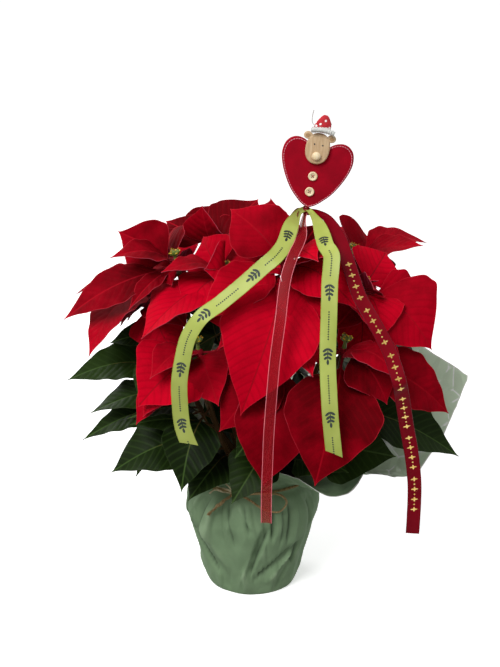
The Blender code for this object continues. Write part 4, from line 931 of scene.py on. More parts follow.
def build_flowers(name, middle):
    """The cluster of one head: a cup in the middle and six round it, each leaning outward."""
    gather = Gather()
    axis = head_axis(middle)
    foot = Vector(middle) + axis * (HUB_RADIUS + GAP)
    turn = UP.rotation_difference(axis).to_matrix()
    neck = [foot + axis * rise for rise in (-0.002, 0.004, NECK_RISE)]
    sweep(gather, neck, (0.0024, 0.0019, 0.0022), sides=10)
    for k in range(7):
        swing = math.pi * k / 3
        reach = CLUSTER_RADIUS if k else 0
        size = 1.0 if k % 2 == 0 else 0.72
        lean = turn @ Matrix.Rotation(swing, 3, "Z") @ Matrix.Rotation(0.40 if k else 0, 3, "Y")
        place = foot + turn @ Vector(polar(reach, swing, NECK_RISE + 0.0012 - (0.0010 if k % 2 else 0)))
        turned(gather, CUP_OUTLINE, 12, middle=place, turn=lean, size=size)
        for drop in (-0.0006, 0.0006):
            gland = place + lean @ Vector((0.0019 * size, drop, 0.0023 * size))
            bead(gather, gland, (0.0009 * size, 0.0007, 0.0007 * size), lean, 1, 8, 5)
        for j in range(4 if k % 2 == 0 else 0):
            way = lean @ Vector(polar(0.35, 1.6 * j + k, 1)).normalized()
            root = place + lean @ Vector((0, 0, 0.0018))
            tip = root + way * (0.0018 + 0.0004 * (j % 2))
            sweep(gather, [root, tip], 0.00018, sides=5, kind=2)
            bead(gather, tip, (0.0004, 0.0004, 0.0003), None, 1, 6, 4)
    gather.make("flowers_" + name, [cup_green, gland_yellow, thread_red], ["cyathia_" + name], "cyathium")


for name, (middle, *_) in HEADS.items():
    build_flowers(name, middle)
print("clusters of true flowers:", len(HEADS))

# %% [markdown]
# Under the leaves is what makes the plant portable: a thin moulded pot, peat mix with white
# perlite grains, and the woody foot that every stem grows from. Little of it shows, but it does
# from above and from the sides, so the soil has crumbs and the bark has its ridges.

# %% Pot, soil and trunk
PAPER, POT_WALL = 0.0009, 0.0014
POT_HEIGHT, POT_RIM_HEIGHT = 0.1150, 0.0120
POT_BASE_RADIUS, POT_TOP_RADIUS, POT_RIM_RADIUS = 0.0455, 0.0610, 0.0640
TRUNK_ROOT = 0.0300

pot_plastic = skin("moulded brown polypropylene", "#3E2A20", "#4A3226", 60,
                   {"Roughness": 0.42, "IOR": 1.49}, 0.08)
peat = skin("peat mix", "#1E130C", "#4A3222", 260, {"Roughness": 0.95, "IOR": 1.4}, 0.8, 6.0)
perlite = skin("perlite", "#C9C4B8", "#EAE7DE", 400, {"Roughness": 0.85, "IOR": 1.45}, 0.4)
bark = skin("young bark", "#4E3C22", "#8A7448", 190, {"Roughness": 0.8, "IOR": 1.42}, 0.6, 5.0)

pot = Gather()
foot = PAPER + GAP
rim_foot = POT_HEIGHT - POT_RIM_HEIGHT
rim, inside = POT_RIM_RADIUS, POT_RIM_RADIUS - POT_WALL
pot_outline = (
    (inside, POT_HEIGHT - 0.0006), (rim - 0.0007, POT_HEIGHT), (rim, POT_HEIGHT - 0.0007),
    (rim, rim_foot + 0.0006), (rim - 0.0008, rim_foot), (POT_TOP_RADIUS, rim_foot - 0.0004),
    (POT_BASE_RADIUS + 0.0004, 0.0016), (POT_BASE_RADIUS - 0.0014, 0), (0, 0), (0, 2 * POT_WALL),
    (POT_BASE_RADIUS - POT_WALL, 2 * POT_WALL), (POT_TOP_RADIUS - POT_WALL, rim_foot + POT_WALL),
    (inside, rim_foot + 2 * POT_WALL), (inside, POT_HEIGHT - 0.0006))
turned(pot, pot_outline[::-1], 72, middle=(0, 0, foot))
pot.make("moulded_pot", [pot_plastic], ["grower_pot"], "pot_plastic")

random = np.random.default_rng(7)
soil = Gather()
SOIL_FOOT, SOIL_CROWN, CRUMBS = 0.0440, 0.0032, 420
soil_wall = SOIL_FOOT + 0.0150 * (SOIL_LEVEL - 0.004) / 0.1
soil_rows = [(SOIL_FOOT, 0.0045), (soil_wall, SOIL_LEVEL - 0.0022)]
soil_rows += [(soil_wall * share, SOIL_LEVEL - 0.002 + SOIL_CROWN * (1 - share ** 4))
              for share in np.linspace(0.97, 0.16, 20)]


def soil_lump(angles, height):
    """How far the soil's points stand out sideways, which roughens its surface."""
    return np.array([0.0009 * noise.noise(Vector(polar(9, a, 900 * height))) for a in angles])


turned(soil, [(0, 0.0045), *soil_rows, (0, SOIL_LEVEL + 0.001)], 96, wobble=soil_lump)
for k in range(CRUMBS):
    reach = soil_wall * 0.95 * math.sqrt(random.uniform(0.03, 1))
    swing = random.uniform(0, 2 * math.pi)
    grain = random.uniform(0.0006, 0.0021)
    height = SOIL_LEVEL + 0.0012 - SOIL_CROWN * (reach / soil_wall) ** 4
    sizes = grain * random.uniform(0.6, 1.0, 3)
    bead(soil, polar(reach, swing, height), sizes, None, 1 if k % 9 == 0 else 0, 7, 4)
soil.make("peat_soil", [peat, perlite], ["potting_soil"], "peat")

trunk = Gather()
trunk_z = np.linspace(SOIL_LEVEL - TRUNK_ROOT + 0.001, TRUNK_TOP, 60)
trunk_line = np.stack([0 * trunk_z, 0 * trunk_z, trunk_z], 1)
trunk_size = TRUNK_RADIUS * (0.97 + 0.05 * np.sin(260 * trunk_z) + 0.03 * np.sin(611 * trunk_z))
trunk_size[-1] *= 0.8
sweep(trunk, trunk_line, trunk_size, sides=28)
trunk.make("woody_foot", [bark], ["trunk"], "woody_stem")

# %% [markdown]
# The wrap is one sheet of waxed florist's paper: matt sage outside, glossy inside. It is laid
# flat under the pot, drawn up and tied at the neck, and what is above the tie opens out as a
# collar, much wider at the right. Paper can't stretch, so it gathers in straight sharp creases
# that run from the tie. Each crease here is a ridge with flat sides between two places.

# %% The wrap's form
NECK_HEIGHT, NECK_RADIUS = 0.1330, 0.0605
WRAP_SHEET = 0.0004
WRAP_EDGE = (
    (0, 0.218, 0.170), (13, 0.264, 0.226), (24, 0.214, 0.262), (48, 0.150, 0.232), (75, 0.138, 0.205),
    (104, 0.186, 0.228), (132, 0.132, 0.196), (162, 0.104, 0.170), (192, 0.122, 0.178), (222, 0.080, 0.160),
    (250, 0.073, 0.153), (274, 0.073, 0.148), (287, 0.082, 0.164), (296, 0.112, 0.166), (303, 0.146, 0.158),
    (315, 0.158, 0.168), (327, 0.158, 0.196), (335, 0.134, 0.158), (347, 0.168, 0.142), (354, 0.192, 0.143),
)
WRAP_SIDE = (
    (0.0, 0.0495, 0.0), (0.004, 0.0535, 0.3), (0.045, 0.0635, 0.7), (0.082, 0.0735, 1.0),
    (0.104, 0.0745, 1.0), (0.120, 0.0680, 1.0), (NECK_HEIGHT - 0.0045, NECK_RADIUS, 1.0),
    (NECK_HEIGHT + 0.0045, NECK_RADIUS, 1.0),
)
# Creases in front, as the picture shows them: angle and height where each starts and ends in
# degrees and millimetres, the width of its long side in degrees, positive where that side lies
# to the right, and how far it stands out in millimetres
FRONT_CREASES = (
    (195, 90, 233, 24, 18, -4.6), (194, 90, 232, 24, -9, -3.4), (216, 96, 246, 18, 14, 2.4),
    (288, 118, 288, 76, 9, -5.5), (292, 120, 291, 74, 8, 4.5), (298, 119, 297, 72, 9, -4.5),
    (285, 97, 266, 22, -18, -5.5), (278, 99, 259, 20, -12, 3.6), (313, 68, 268, 20, 14, -5.0),
    (319, 66, 282, 12, 12, 3.4), (318, 68, 316, 34, -9, -6.5), (306, 122, 304, 64, 12, -4.0),
    (246, 124, 254, 66, 12, -3.4), (237, 126, 224, 58, -14, 3.4), (262, 124, 268, 84, 9, -3.4),
    (254, 126, 247, 82, 8, 2.6), (228, 124, 212, 62, -12, -3.6), (332, 118, 327, 46, 14, -5.0),
    (342, 114, 339, 52, -12, 3.6), (216, 122, 200, 66, -12, 3.2), (272, 62, 252, 8, 12, 2.4),
)


# %% [markdown]
# A crease lifts the sheet on one long side and drops it on a short steep one. Round the sheet,
# the creases near a place add up to how far it stands out there.

# %% Points on the wrap
def wrap_fold(angle, share):
    pleats = math.sin(7 * angle + 0.6) + 0.6 * math.sin(11 * angle + 2.0) + 0.5 * math.sin(4 * angle)
    return 0.0014 * pleats * share


def back_creases():
    """Creases all round, drawn by a seeded rule: from the tie down, and from the base up."""
    draw = np.random.default_rng(21)
    made = []
    for k in range(34):
        start = 360 * k / 34 + draw.uniform(-4, 4)
        end = start + draw.uniform(-22, 22)
        made.append((start, 126, end, 126 - draw.uniform(30, 90),
                     draw.uniform(7, 13) * (-1) ** (k // 2), draw.uniform(1.0, 2.8) * (-1) ** k))
    for k in range(22):
        start = 360 * k / 22 + draw.uniform(-6, 6)
        made.append((start, draw.uniform(24, 60), start + draw.uniform(-14, 14), 1,
                     draw.uniform(7, 13) * (-1) ** (k // 2), draw.uniform(0.8, 2.2) * (-1) ** k))
    return made


CREASES = (*FRONT_CREASES, *back_creases())
STEEP_SIDE, PINCH_HALF = 2.6, 1.8       # a crease's short side and a pinched valley's half width, in degrees


def creased(angle, height):
    """How far the paper stands out here because of its creases, in metres, and how near the
    middle of a pinched valley it is, from 0 to 1, where a thin line of painted shade is drawn."""
    degrees, level = math.degrees(angle) % 360, 1000 * height
    total, shade_line = 0.0, 0.0
    for start, top, end, bottom, wide, depth in CREASES:
        if not bottom < level < top:
            continue
        share = (top - level) / (top - bottom)
        off = ((degrees - start - (end - start) * share + 180) % 360 - 180) * math.copysign(1, wide)
        fade = min(1, 5 * share, 4 * (1 - share))
        flank = 1 - (off / abs(wide) if off > 0 else -off / STEEP_SIDE)
        if flank > 0:
            total += depth * flank * fade
        if depth < -3 and abs(off) < PINCH_HALF:
            shade_line = max(shade_line, (1 - abs(off) / PINCH_HALF) * fade)
    crumple = 0.0
    for scale, size in ((14, 0.8), (34, 0.4)):
        spot = Vector(polar(0.07, angle, height * 0.7)) * scale * 2
        crumple += size * (1 - 3 * abs(noise.noise(spot)))
    return 0.001 * (total + crumple * min(1, level / 12)), shade_line


def wrap_edge(angle):
    """Radius and height of the wrap's top edge at this angle, through the named points. At the
    wide corner on the right the cut edge is straight from point to point."""
    degrees = math.degrees(angle) % 360
    count = len(WRAP_EDGE)
    i = max(k for k in range(count) if WRAP_EDGE[k][0] <= degrees)
    here, after = WRAP_EDGE[i], WRAP_EDGE[(i + 1) % count]
    before, beyond = WRAP_EDGE[i - 1], WRAP_EDGE[(i + 2) % count]
    end = after[0] + (360 if i == count - 1 else 0)
    if end <= 24 or end == 360:
        a, b = (np.array(polar(radius, math.radians(turn), 0)[:2]) for turn, radius, _ in (here, after))
        way = np.array((math.cos(angle), math.sin(angle)))
        t = (way[0] * a[1] - way[1] * a[0]) / (way[0] * (a[1] - b[1]) - way[1] * (a[0] - b[0]))
        return [float(np.linalg.norm(a + (b - a) * t)), here[2] + (after[2] - here[2]) * t]
    t = (degrees - here[0]) / (end - here[0])
    return [between((before[k], here[k], after[k], beyond[k]), t) for k in (1, 2)]


def wrap_point(angle, height, radius, share):
    return Vector(polar(radius + wrap_fold(angle, share), angle, height))


def collar_point(angle, share):
    """From the tied neck to the wrap's top edge: up first, then out, with folds that fan out."""
    _, radius, folds = WRAP_SIDE[-1]
    neck = wrap_point(angle, NECK_HEIGHT + 0.0045 + PAPER / 2, radius, folds)
    r, z = wrap_edge(angle)
    edge = Vector(polar(r, angle, z))
    rise = Vector((neck.x, neck.y, 0)) * 1.08 + UP * (neck.z + 0.45 * max(z - neck.z, 0.016))
    a, b = neck.lerp(rise, share), rise.lerp(edge, share)
    point = a.lerp(b, share)
    fan = abs((angle * 17 / math.pi + 0.6 * math.sin(3 * angle)) % 2 - 1) - 0.5
    fine = abs((angle * 31 / math.pi + 0.9 * math.sin(5 * angle + 1) + 1.5 * share) % 2 - 1) - 0.5
    way = (b - a).normalized().cross(Vector((-math.sin(angle), math.cos(angle), 0))).normalized()
    crumple = 2 - 3 * abs(noise.noise(point * 26)) - 3 * abs(noise.noise(point * 61 + Vector((7, 3, 5))))
    fold = min(1, 4 * share) * (3.2 * fan + 1.8 * fine + 1.3 * crumple)
    return point + way * 0.001 * fold, fold


# %% [markdown]
# Two finishes cover the sheet. Outside is uncoated paper: matt, with a trace of pulp in its
# colour. Inside it is coated, so it shines and looks greyer. Near the edge, painted glints lie on
# the crinkles, white inside and faint outside. On both, the creases carry painted shade in their
# valleys and a painted highlight on their ridges. The cut edge is pale, because the colour is only
# printed on.

# %% The wrap
def paper_finish(name, dark, light, crease_shade_colour, highlight_colour, glint, deep_shade, relief, settings):
    """Creased paper: two close shades, with painted shade deep in a crease and a painted highlight on
    a ridge, a pale cut edge and a net of finer crinkles 20 mm apart. Near the edge, painted glints run
    along the crinkles, and far from it, down by the soil, painted shade darkens the sheet."""
    made, tree, shader = new_finish(name, **settings)
    where = add(tree, "TexCoord").outputs["Object"]
    mottle = add(tree, "TexNoise", {"Scale": 55.0, "Detail": 6.0}, {"Vector": where})
    marks = add(tree, "Attribute", {"attribute_name": "mark"}).outputs["Vector"]
    split = add(tree, "SeparateXYZ", {}, {0: marks})
    fold_mm, edge_mm = split.outputs["X"], split.outputs["Y"]
    warp = add(tree, "Mapping", {"Rotation": (0.5, 0.7, 0), "Scale": (1, 1, 0.5)}, {"Vector": where})
    net = add(tree, "TexVoronoi", {"Scale": 48.0, "feature": "DISTANCE_TO_EDGE"}, {"Vector": warp})
    crinkle = net.outputs["Distance"]
    # Each mask goes from one strength to another while what it reads goes from low to high
    deep, ridge_highlight, line, broken, near, deep_shade_mask, rim = (
        add(tree, "MapRange", {"From Min": low, "From Max": top, "To Min": start, "To Max": end},
            {"Value": source})
        for source, low, top, start, end in (
            (fold_mm, -9.0, -1.0, 0.95, 0.0), (fold_mm, 1.6, 4.5, 0.0, 0.9),
            (crinkle, 0.01, 0.05, glint, 0.0), (mottle, 0.44, 0.50, 0.0, 1.0),
            (edge_mm, 40.0, 80.0, 1.0, 0.0), (edge_mm, 60.0, 105.0, 0.0, deep_shade),
            (edge_mm, 1.1, 1.8, 0.95, 0.0)))
    glint_net = add(tree, "Math", {"operation": "MULTIPLY"}, {0: line, 1: broken})
    edge_glints = add(tree, "Math", {"operation": "MULTIPLY"}, {0: glint_net, 1: near})
    shade = add(tree, "Mix", {"data_type": "RGBA", 6: linear(dark), 7: linear(light)}, {0: mottle})
    # Painted shade in crease valleys and deep inside, painted highlights on ridges and glints on crinkles,
    # then the pale cut edge.
    for mask, colour in ((deep, crease_shade_colour), (ridge_highlight, highlight_colour), (deep_shade_mask, "#202A1C"), (edge_glints, highlight_colour),
                         (rim, "#E8ECE0")):
        shade = add(tree, "Mix", {"data_type": "RGBA", 7: linear(colour)}, {0: mask, 6: shade})
    height = add(tree, "Math", {"operation": "MULTIPLY_ADD", 1: 0.12}, {0: mottle, 2: crinkle})
    cover(tree, shader, shade, height, relief, 0.004)
    return made


# After its two shades, each paper finish takes the colour of painted crease shade, the colour of painted
# highlights, the strength of painted glints, the strength of deep painted shade, and the relief.
paper_out = paper_finish("uncoated sage paper", "#6C8662", "#809A75", "#33442E", "#8CA480", 0.15, 0.0, 0.35,
                         {"Roughness": 0.80, "IOR": 1.48})
paper_in = paper_finish("coated sage paper", "#BCD2B0", "#D4E4C8", "#8CA284", "#FFFFFF", 0.75, 0.9, 0.8,
                        {"Roughness": 0.22, "IOR": 1.5, "Specular_IOR_Level": 0.7})
paper_cut = skin("cut paper edge", "#D8DDD0", "#EEF0E8", 90, {"Roughness": 0.8, "IOR": 1.48})

AROUND, COLLAR_ROWS = 450, 30
wrap_angles = np.radians(np.linspace(90, 450, AROUND + 1))
side_rows = smooth_line(WRAP_SIDE, 9)
base_rings = (0.002, 0.020, 0.038, 0.0465)
grid = [[Vector(polar(r, a, PAPER / 2)) for a in wrap_angles] for r in base_rings]
folds = [[0.0] * len(wrap_angles)] * len(base_rings)
for height, radius, share in side_rows:
    stands = [(out * min(1, 20 * share), shade_line)
              for out, shade_line in (creased(a, height) for a in wrap_angles)]
    grid.append([wrap_point(a, height + PAPER / 2, radius + out, share)
                 for a, (out, _) in zip(wrap_angles, stands)])
    # A thin line of painted shade down the middle of each deep valley lowers only the fold mark, not the
    # sheet.
    folds.append([1000 * out - 4.5 * shade_line for out, shade_line in stands])
for share in np.linspace(0.02, 1.0, COLLAR_ROWS):
    row = [collar_point(a, share) for a in wrap_angles]
    grid.append([point for point, _ in row])
    folds.append([fold for _, fold in row])
grid = np.array([[tuple(p) for p in row] for row in grid])
to_edge = 1000 * np.linalg.norm(grid - grid[-1], axis=-1)
# The fold mark gives painted shade in valleys and painted highlights on ridges. The distance to the top edge
# places painted glints and deep painted shade.
wrap_marks = np.stack([np.array(folds), to_edge, 0 * to_edge, 0 * to_edge], -1)
wrap = Gather()
add_sheet(wrap, grid, WRAP_SHEET, (1, 0, 2), wrap_marks)
# In front on the right the collar was turned over before it was tied, so its matt side is up
TURNED_OVER = (281, 342)
for k in range((len(grid) - 1) * AROUND):
    on_collar = k // AROUND > len(side_rows) + 3
    if on_collar and TURNED_OVER[0] < math.degrees(wrap_angles[k % AROUND]) % 360 < TURNED_OVER[1]:
        wrap.kinds[k] = 0
wrap.make("wrap_paper", [paper_out, paper_in, paper_cut], ["paper_wrap"], "sage_paper")
print("wrap grid:", grid.shape[:2])

# %% [markdown]
# Raffia is split palm leaf: flat, slightly twisted ribbons of fibre that lie in a loose bundle
# and fray where they are cut. A round tube would look like string, so each strand here is flat,
# rolls as it goes, and wanders round the line that the solid follows.

# %% Raffia tie
RAFFIA_RADIUS = 0.0016
raffia = skin("brown raffia", "#7A6038", "#B49A68", 420, {"Roughness": 0.6, "IOR": 1.45}, 0.5, 5.0)
raffia_pale = skin("pale raffia", "#B0A078", "#DED0A8", 420, {"Roughness": 0.6, "IOR": 1.45}, 0.5, 5.0)


def strands(gather, route, count, spread, half, seed, closed=False, steps=8, kind=0):
    """A loose bundle of flat fibres round a route."""
    line = smooth_line(route, steps, closed)
    draw = np.random.default_rng(seed)
    place = np.linspace(0, 1, len(line), endpoint=not closed)
    for _ in range(count):
        phase, turns = draw.uniform(0, 2 * math.pi), draw.integers(2, 5) * (2 if closed else 1)
        wound = 2 * np.pi * turns * place
        wander = np.stack([np.cos(wound + phase), np.sin(wound + phase * 1.7), np.sin(wound + phase)], 1)
        free = 0.6 + 0.4 * place[:, None] if not closed else 1.0
        width = half * draw.uniform(0.7, 1.2) * (1 + 0.2 * np.sin(14 * place + phase))
        roll = 0 if closed else draw.uniform(2, 7)
        sweep(gather, line + wander * spread * free, width, 0.0003, 6, kind, closed, roll)


tie = Gather()
tie_away = PAPER / 2 + RAFFIA_RADIUS + 2 * GAP
tie_ring = [wrap_point(math.radians(a), NECK_HEIGHT + 0.0005, NECK_RADIUS + tie_away, 1.0)
            for a in range(0, 360, 10)]
strands(tie, tie_ring, 6, 0.0010, 0.0011, 3, closed=True, steps=4)
knot = wrap_point(math.radians(252), NECK_HEIGHT, NECK_RADIUS + tie_away + 0.0016, 1.0)
# Where the brown ends and the pale ones go from the knot
TAIL = ((0, 0, 0), (-0.010, -0.004, -0.006), (-0.0200, -0.0045, -0.0150), (-0.0290, -0.0040, -0.0240))
LOOP = ((0, 0, 0), (0.016, -0.0075, -0.004), (0.032, -0.0120, -0.013), (0.049, -0.0110, -0.017),
        (0.058, -0.0070, -0.008), (0.050, -0.0070, 0.002), (0.030, -0.0080, 0.004),
        (0.003, -0.0020, 0.001))
PALE_ENDS = (((-0.006, -0.004, 0.010), (-0.013, -0.010, 0.019), (-0.018, -0.016, 0.022)),
             ((-0.010, -0.005, 0.008), (-0.022, -0.010, 0.014), (-0.032, -0.014, 0.018)),
             ((-0.010, -0.004, 0.003), (-0.020, -0.008, 0.008), (-0.027, -0.012, 0.006)))
strands(tie, [knot + Vector(step) for step in TAIL], 9, 0.0011, 0.0011, 4)
strands(tie, [knot + Vector(step) for step in LOOP], 6, 0.0006, 0.0009, 5)
for k, steps in enumerate(PALE_ENDS):
    strands(tie, [knot, *(knot + Vector(step) for step in steps)], 2, 0.0005, 0.0008, 8 + k, kind=1)
for k in range(4):
    swing = math.pi * k / 4
    flat, tall = 0.0030 * math.cos(swing), 0.0038 * (0.5 + math.sin(swing) / 2)
    ring = [knot + Vector((0.0038 * math.cos(a), flat * math.sin(a), tall * math.sin(a)))
            for a in circle(14)]
    sweep(tie, ring, 0.0014, 0.0007, sides=6, closed=True)
bead(tie, knot, (0.0036, 0.0030, 0.0036))
tie.make("raffia_strands", [raffia, raffia_pale], ["raffia_tie"], "raffia")
print("raffia tie:", len(tie.faces), "faces")

# %% [markdown]
# The pick is a craft-shop ornament: a heart of thick red felt sewn round its edge with pink
# thread, a flat wooden animal's head with a bead nose, a white felt brim and a spotted hat, and
# two wooden buttons, all glued to a stick. It leans, so every piece is made in the pick's own
# upright plane and then turned as one.

# %% The pick's plane
STICK_RADIUS, STICK_FOOT = 0.0015, Vector((-0.016, -0.022, 0.060))
PICK_POINT = Vector((0.057, -0.045, 0.452))
HEART_SIDE = ((0, 0), (0.0065, 0.0032), (0.0130, 0.0084), (0.0223, 0.0185), (0.0303, 0.0320),
              (0.0352, 0.0440), (0.0370, 0.0540), (0.0353, 0.0635), (0.0300, 0.0696), (0.0230, 0.0716),
              (0.0150, 0.0694), (0.0080, 0.0638), (0.0030, 0.0575), (0, 0.0540))
HEART_THICK, HEART_CENTRE = 0.0060, 0.040
HEAD_SIDE, HEAD_MIDDLE, HEAD_SIZE, HEAD_THICK = -0.0024, 0.0637, (0.0124, 0.0160), 0.0040
EAR_SIZE, EAR_PLACE = (0.0046, 0.0040), (0.0120, 0.0120)
KNOT_RADIUS, KNOT_DROP = 0.0056, 0.0045
STICK_BACK = HEART_THICK / 2 + GAP + STICK_RADIUS
pick_up = (PICK_POINT - STICK_FOOT).normalized()
pick_back = (-FRONT - pick_up * (-FRONT).dot(pick_up)).normalized()
pick_turn = Matrix((pick_back.cross(pick_up), pick_back, pick_up)).transposed()
pick_frame = Matrix.Translation(PICK_POINT) @ pick_turn.to_4x4()


class PickGather(Gather):
    """A piece of the pick: x to the right, y to the back, z up from the heart's point."""

    def make(self, *words):
        turn, place = np.array(pick_frame.to_3x3()), np.array(pick_frame.translation)
        self.points = [p @ turn.T + place for p in self.points]
        return super().make(*words)


def plate(gather, outline, middle, front, thick, round_off=0.25, rings=7, kind=0, swell=0.0):
    """A flat piece with rounded edges: its outline shrinks towards its middle, ring by ring."""
    outline, middle = np.asarray(outline, float), np.array(middle, float)
    count = len(outline)
    shares = [1 - round_off * (1 - math.cos(a)) for a in np.linspace(0, math.pi / 2, rings)]
    heights = [math.sin(a) for a in np.linspace(0, math.pi / 2, rings)]
    shares += [0.5 * shares[-1], 0.02]
    heights += [1 + swell, 1 + swell]
    rows = []
    for sign in (1, -1):
        for share, height in list(zip(shares, heights))[::-1 if sign == 1 else 1]:
            flat = middle + (outline - middle) * share
            y = front + thick / 2 + sign * height * thick / 2
            rows.append(np.stack([flat[:, 0], np.full(count, y), flat[:, 1]], 1))
    gather.add(np.concatenate(rows), ring_faces(len(rows), count, capped=True), kind)


right_side = smooth_line([(x, 0, z) for x, z in HEART_SIDE], 6)[:, [0, 2]]
heart_line = np.concatenate([right_side, right_side[-2:0:-1] * (-1, 1)])
heart_loop = np.vstack([heart_line, heart_line[:1]])
heart_run = run_along(heart_loop)
print("the heart's edge in mm:", round(1000 * heart_run[-1]))


def heart_at(share, scale=1.0):
    """A point this share of the way round the heart, from its point up the right side."""
    x, z = (np.interp(share % 1 * heart_run[-1], heart_run, heart_loop[:, k]) for k in (0, 1))
    return Vector((x * scale, 0, HEART_CENTRE + (z - HEART_CENTRE) * scale))


# %% [markdown]
# The heart is two layers of red felt with a little wadding, sewn together near their edge. Each
# stitch dips into the felt at its ends and stands a little proud in its middle.

# %% Felt and thread
def felt(name, dark, light, tint):
    """Pressed wool: matt, fibrous in every direction, with a soft sheen at its edges."""
    made, tree, shader = new_finish(name, Roughness=0.92, IOR=1.4, Specular_IOR_Level=0.2, Sheen_Weight=0.25,
                                    Sheen_Roughness=0.6, Sheen_Tint=linear(tint))
    where = add(tree, "TexCoord").outputs["Object"]
    cloud = add(tree, "TexNoise", {"Scale": 70.0, "Detail": 3.0}, {"Vector": where})
    fibre = add(tree, "TexNoise", {"Scale": 1400.0, "Detail": 4.0, "Distortion": 2.0}, {"Vector": where})
    both = add(tree, "Math", {"operation": "MULTIPLY_ADD", 1: 0.6}, {0: fibre, 2: cloud})
    spread = add(tree, "MapRange", {"From Min": 0.55, "From Max": 1.05}, {"Value": both})
    mixed = add(tree, "Mix", {"data_type": "RGBA", 6: linear(dark), 7: linear(light)}, {0: spread})
    cover(tree, shader, mixed, fibre, 0.5, 0.0003)
    return made


red_felt = felt("red felt", "#8C0018", "#A8001E", "#D84050")
white_felt = felt("white felt", "#BFC0BC", "#DADBD6", "#FFFFFF")
pink_thread = skin("pink cotton thread", "#D8798A", "#EAA0AC", 900, {"Roughness": 0.8, "IOR": 1.5})
pale_thread = skin("grey cotton thread", "#B9B4B0", "#D4D0CC", 900, {"Roughness": 0.8, "IOR": 1.5})

heart = PickGather()
plate(heart, heart_line, (0, HEART_CENTRE), -HEART_THICK / 2, HEART_THICK, 0.05, 6, 0, 0.06)
STITCHES, STITCH_RISE = 84, 0.0003
for k in range(STITCHES):
    ends = [heart_at((k + part) / STITCHES, 0.945) for part in (0.08, 0.74)]
    for face in (-1, 1):
        y = face * (HEART_THICK / 2 - 0.00005)
        line = [ends[0].lerp(ends[1], t) + Vector((0, y + face * STITCH_RISE * math.sin(math.pi * t), 0))
                for t in (0, 0.25, 0.5, 0.75, 1)]
        sweep(heart, line, 0.00038, sides=5, kind=1)
felt_heart = heart.make("felt_heart", [red_felt, pink_thread], ["pick_heart"], "red_felt")
print("felt heart:", STITCHES, "stitches on each side")

# %% [markdown]
# Small wooden craft parts are punched from thin sheet and tumbled smooth, so their edges are
# round and their grain runs straight across. The grain is drawn by a noise that is stretched
# along the wood, and lies a millimetre apart because it would vanish at its true spacing.

# %% Wooden head, buttons and stick
def wood(name, dark, light):
    made, tree, shader = new_finish(name, Roughness=0.55, IOR=1.5)
    where = add(tree, "TexCoord").outputs["Object"]
    stretched = add(tree, "Mapping", {"Scale": (1, 1, 0.08)}, {"Vector": where})
    grain = add(tree, "TexNoise", {"Scale": 620.0, "Detail": 3.0, "Distortion": 0.4}, {"Vector": stretched})
    spread = add(tree, "MapRange", {"From Min": 0.35, "From Max": 0.7}, {"Value": grain})
    mixed = add(tree, "Mix", {"data_type": "RGBA", 6: linear(dark), 7: linear(light)}, {0: spread})
    cover(tree, shader, mixed, grain, 0.15, 0.0002)
    return made


tan_wood = wood("stained limewood", "#BE9E78", "#D6BC96")
cream_wood = wood("bare limewood", "#E6CFA4", "#F4E4C4")
stick_wood = wood("bamboo stick", "#C9B48C", "#E0CFAC")
black_paint = skin("black paint", "#0E0B0A", "#1A1614", 300, {"Roughness": 0.35, "IOR": 1.5})


def oval(width, height, middle, sides, power=2.0):
    """Points round (x, z): an ellipse, or a squarer form where the power is above 2."""
    turns = 2 * np.pi * np.arange(sides) / sides
    x, z = (np.sign(c) * abs(c) ** (2 / power) for c in (np.cos(turns), np.sin(turns)))
    return np.stack([middle[0] + width * x, middle[1] + height * z], 1)


head = PickGather()
head_front = -HEART_THICK / 2 - GAP - HEAD_THICK
head_place = (HEAD_SIDE, HEAD_MIDDLE)
plate(head, oval(*HEAD_SIZE, head_place, 64, 2.25), head_place, head_front, HEAD_THICK, 0.10, 6)
for side in (-1, 1):
    ear = (HEAD_SIDE + side * EAR_PLACE[0], HEAD_MIDDLE + EAR_PLACE[1])
    plate(head, oval(*EAR_SIZE, ear, 28), ear, head_front + 0.0006, 0.0032, 0.22, 5)
    inside = (ear[0] + side * 0.0003, ear[1] + 0.0001)
    plate(head, oval(0.0024, 0.0020, inside, 18), inside, head_front + 0.00045, 0.0003, 0.2, 3, 1)
for x, z in ((-0.0041, 0.0043), (0.0043, 0.0043)):
    bead(head, (HEAD_SIDE + x, head_front, HEAD_MIDDLE + z), (0.0008, 0.0004, 0.0009), kind=2)
ear_shade = wood("darker stained limewood", "#A07C54", "#B49068")
head.make("wooden_head", [tan_wood, ear_shade, black_paint], ["pick_head"], "pale_wood")

nose = PickGather()
bead(nose, (HEAD_SIDE, head_front - 0.0012, HEAD_MIDDLE - 0.0075), (0.0046, 0.0034, 0.0045), None, 0, 28, 15)
nose.make("nose_bead", [cream_wood], ["pick_nose"], "cream_wood")

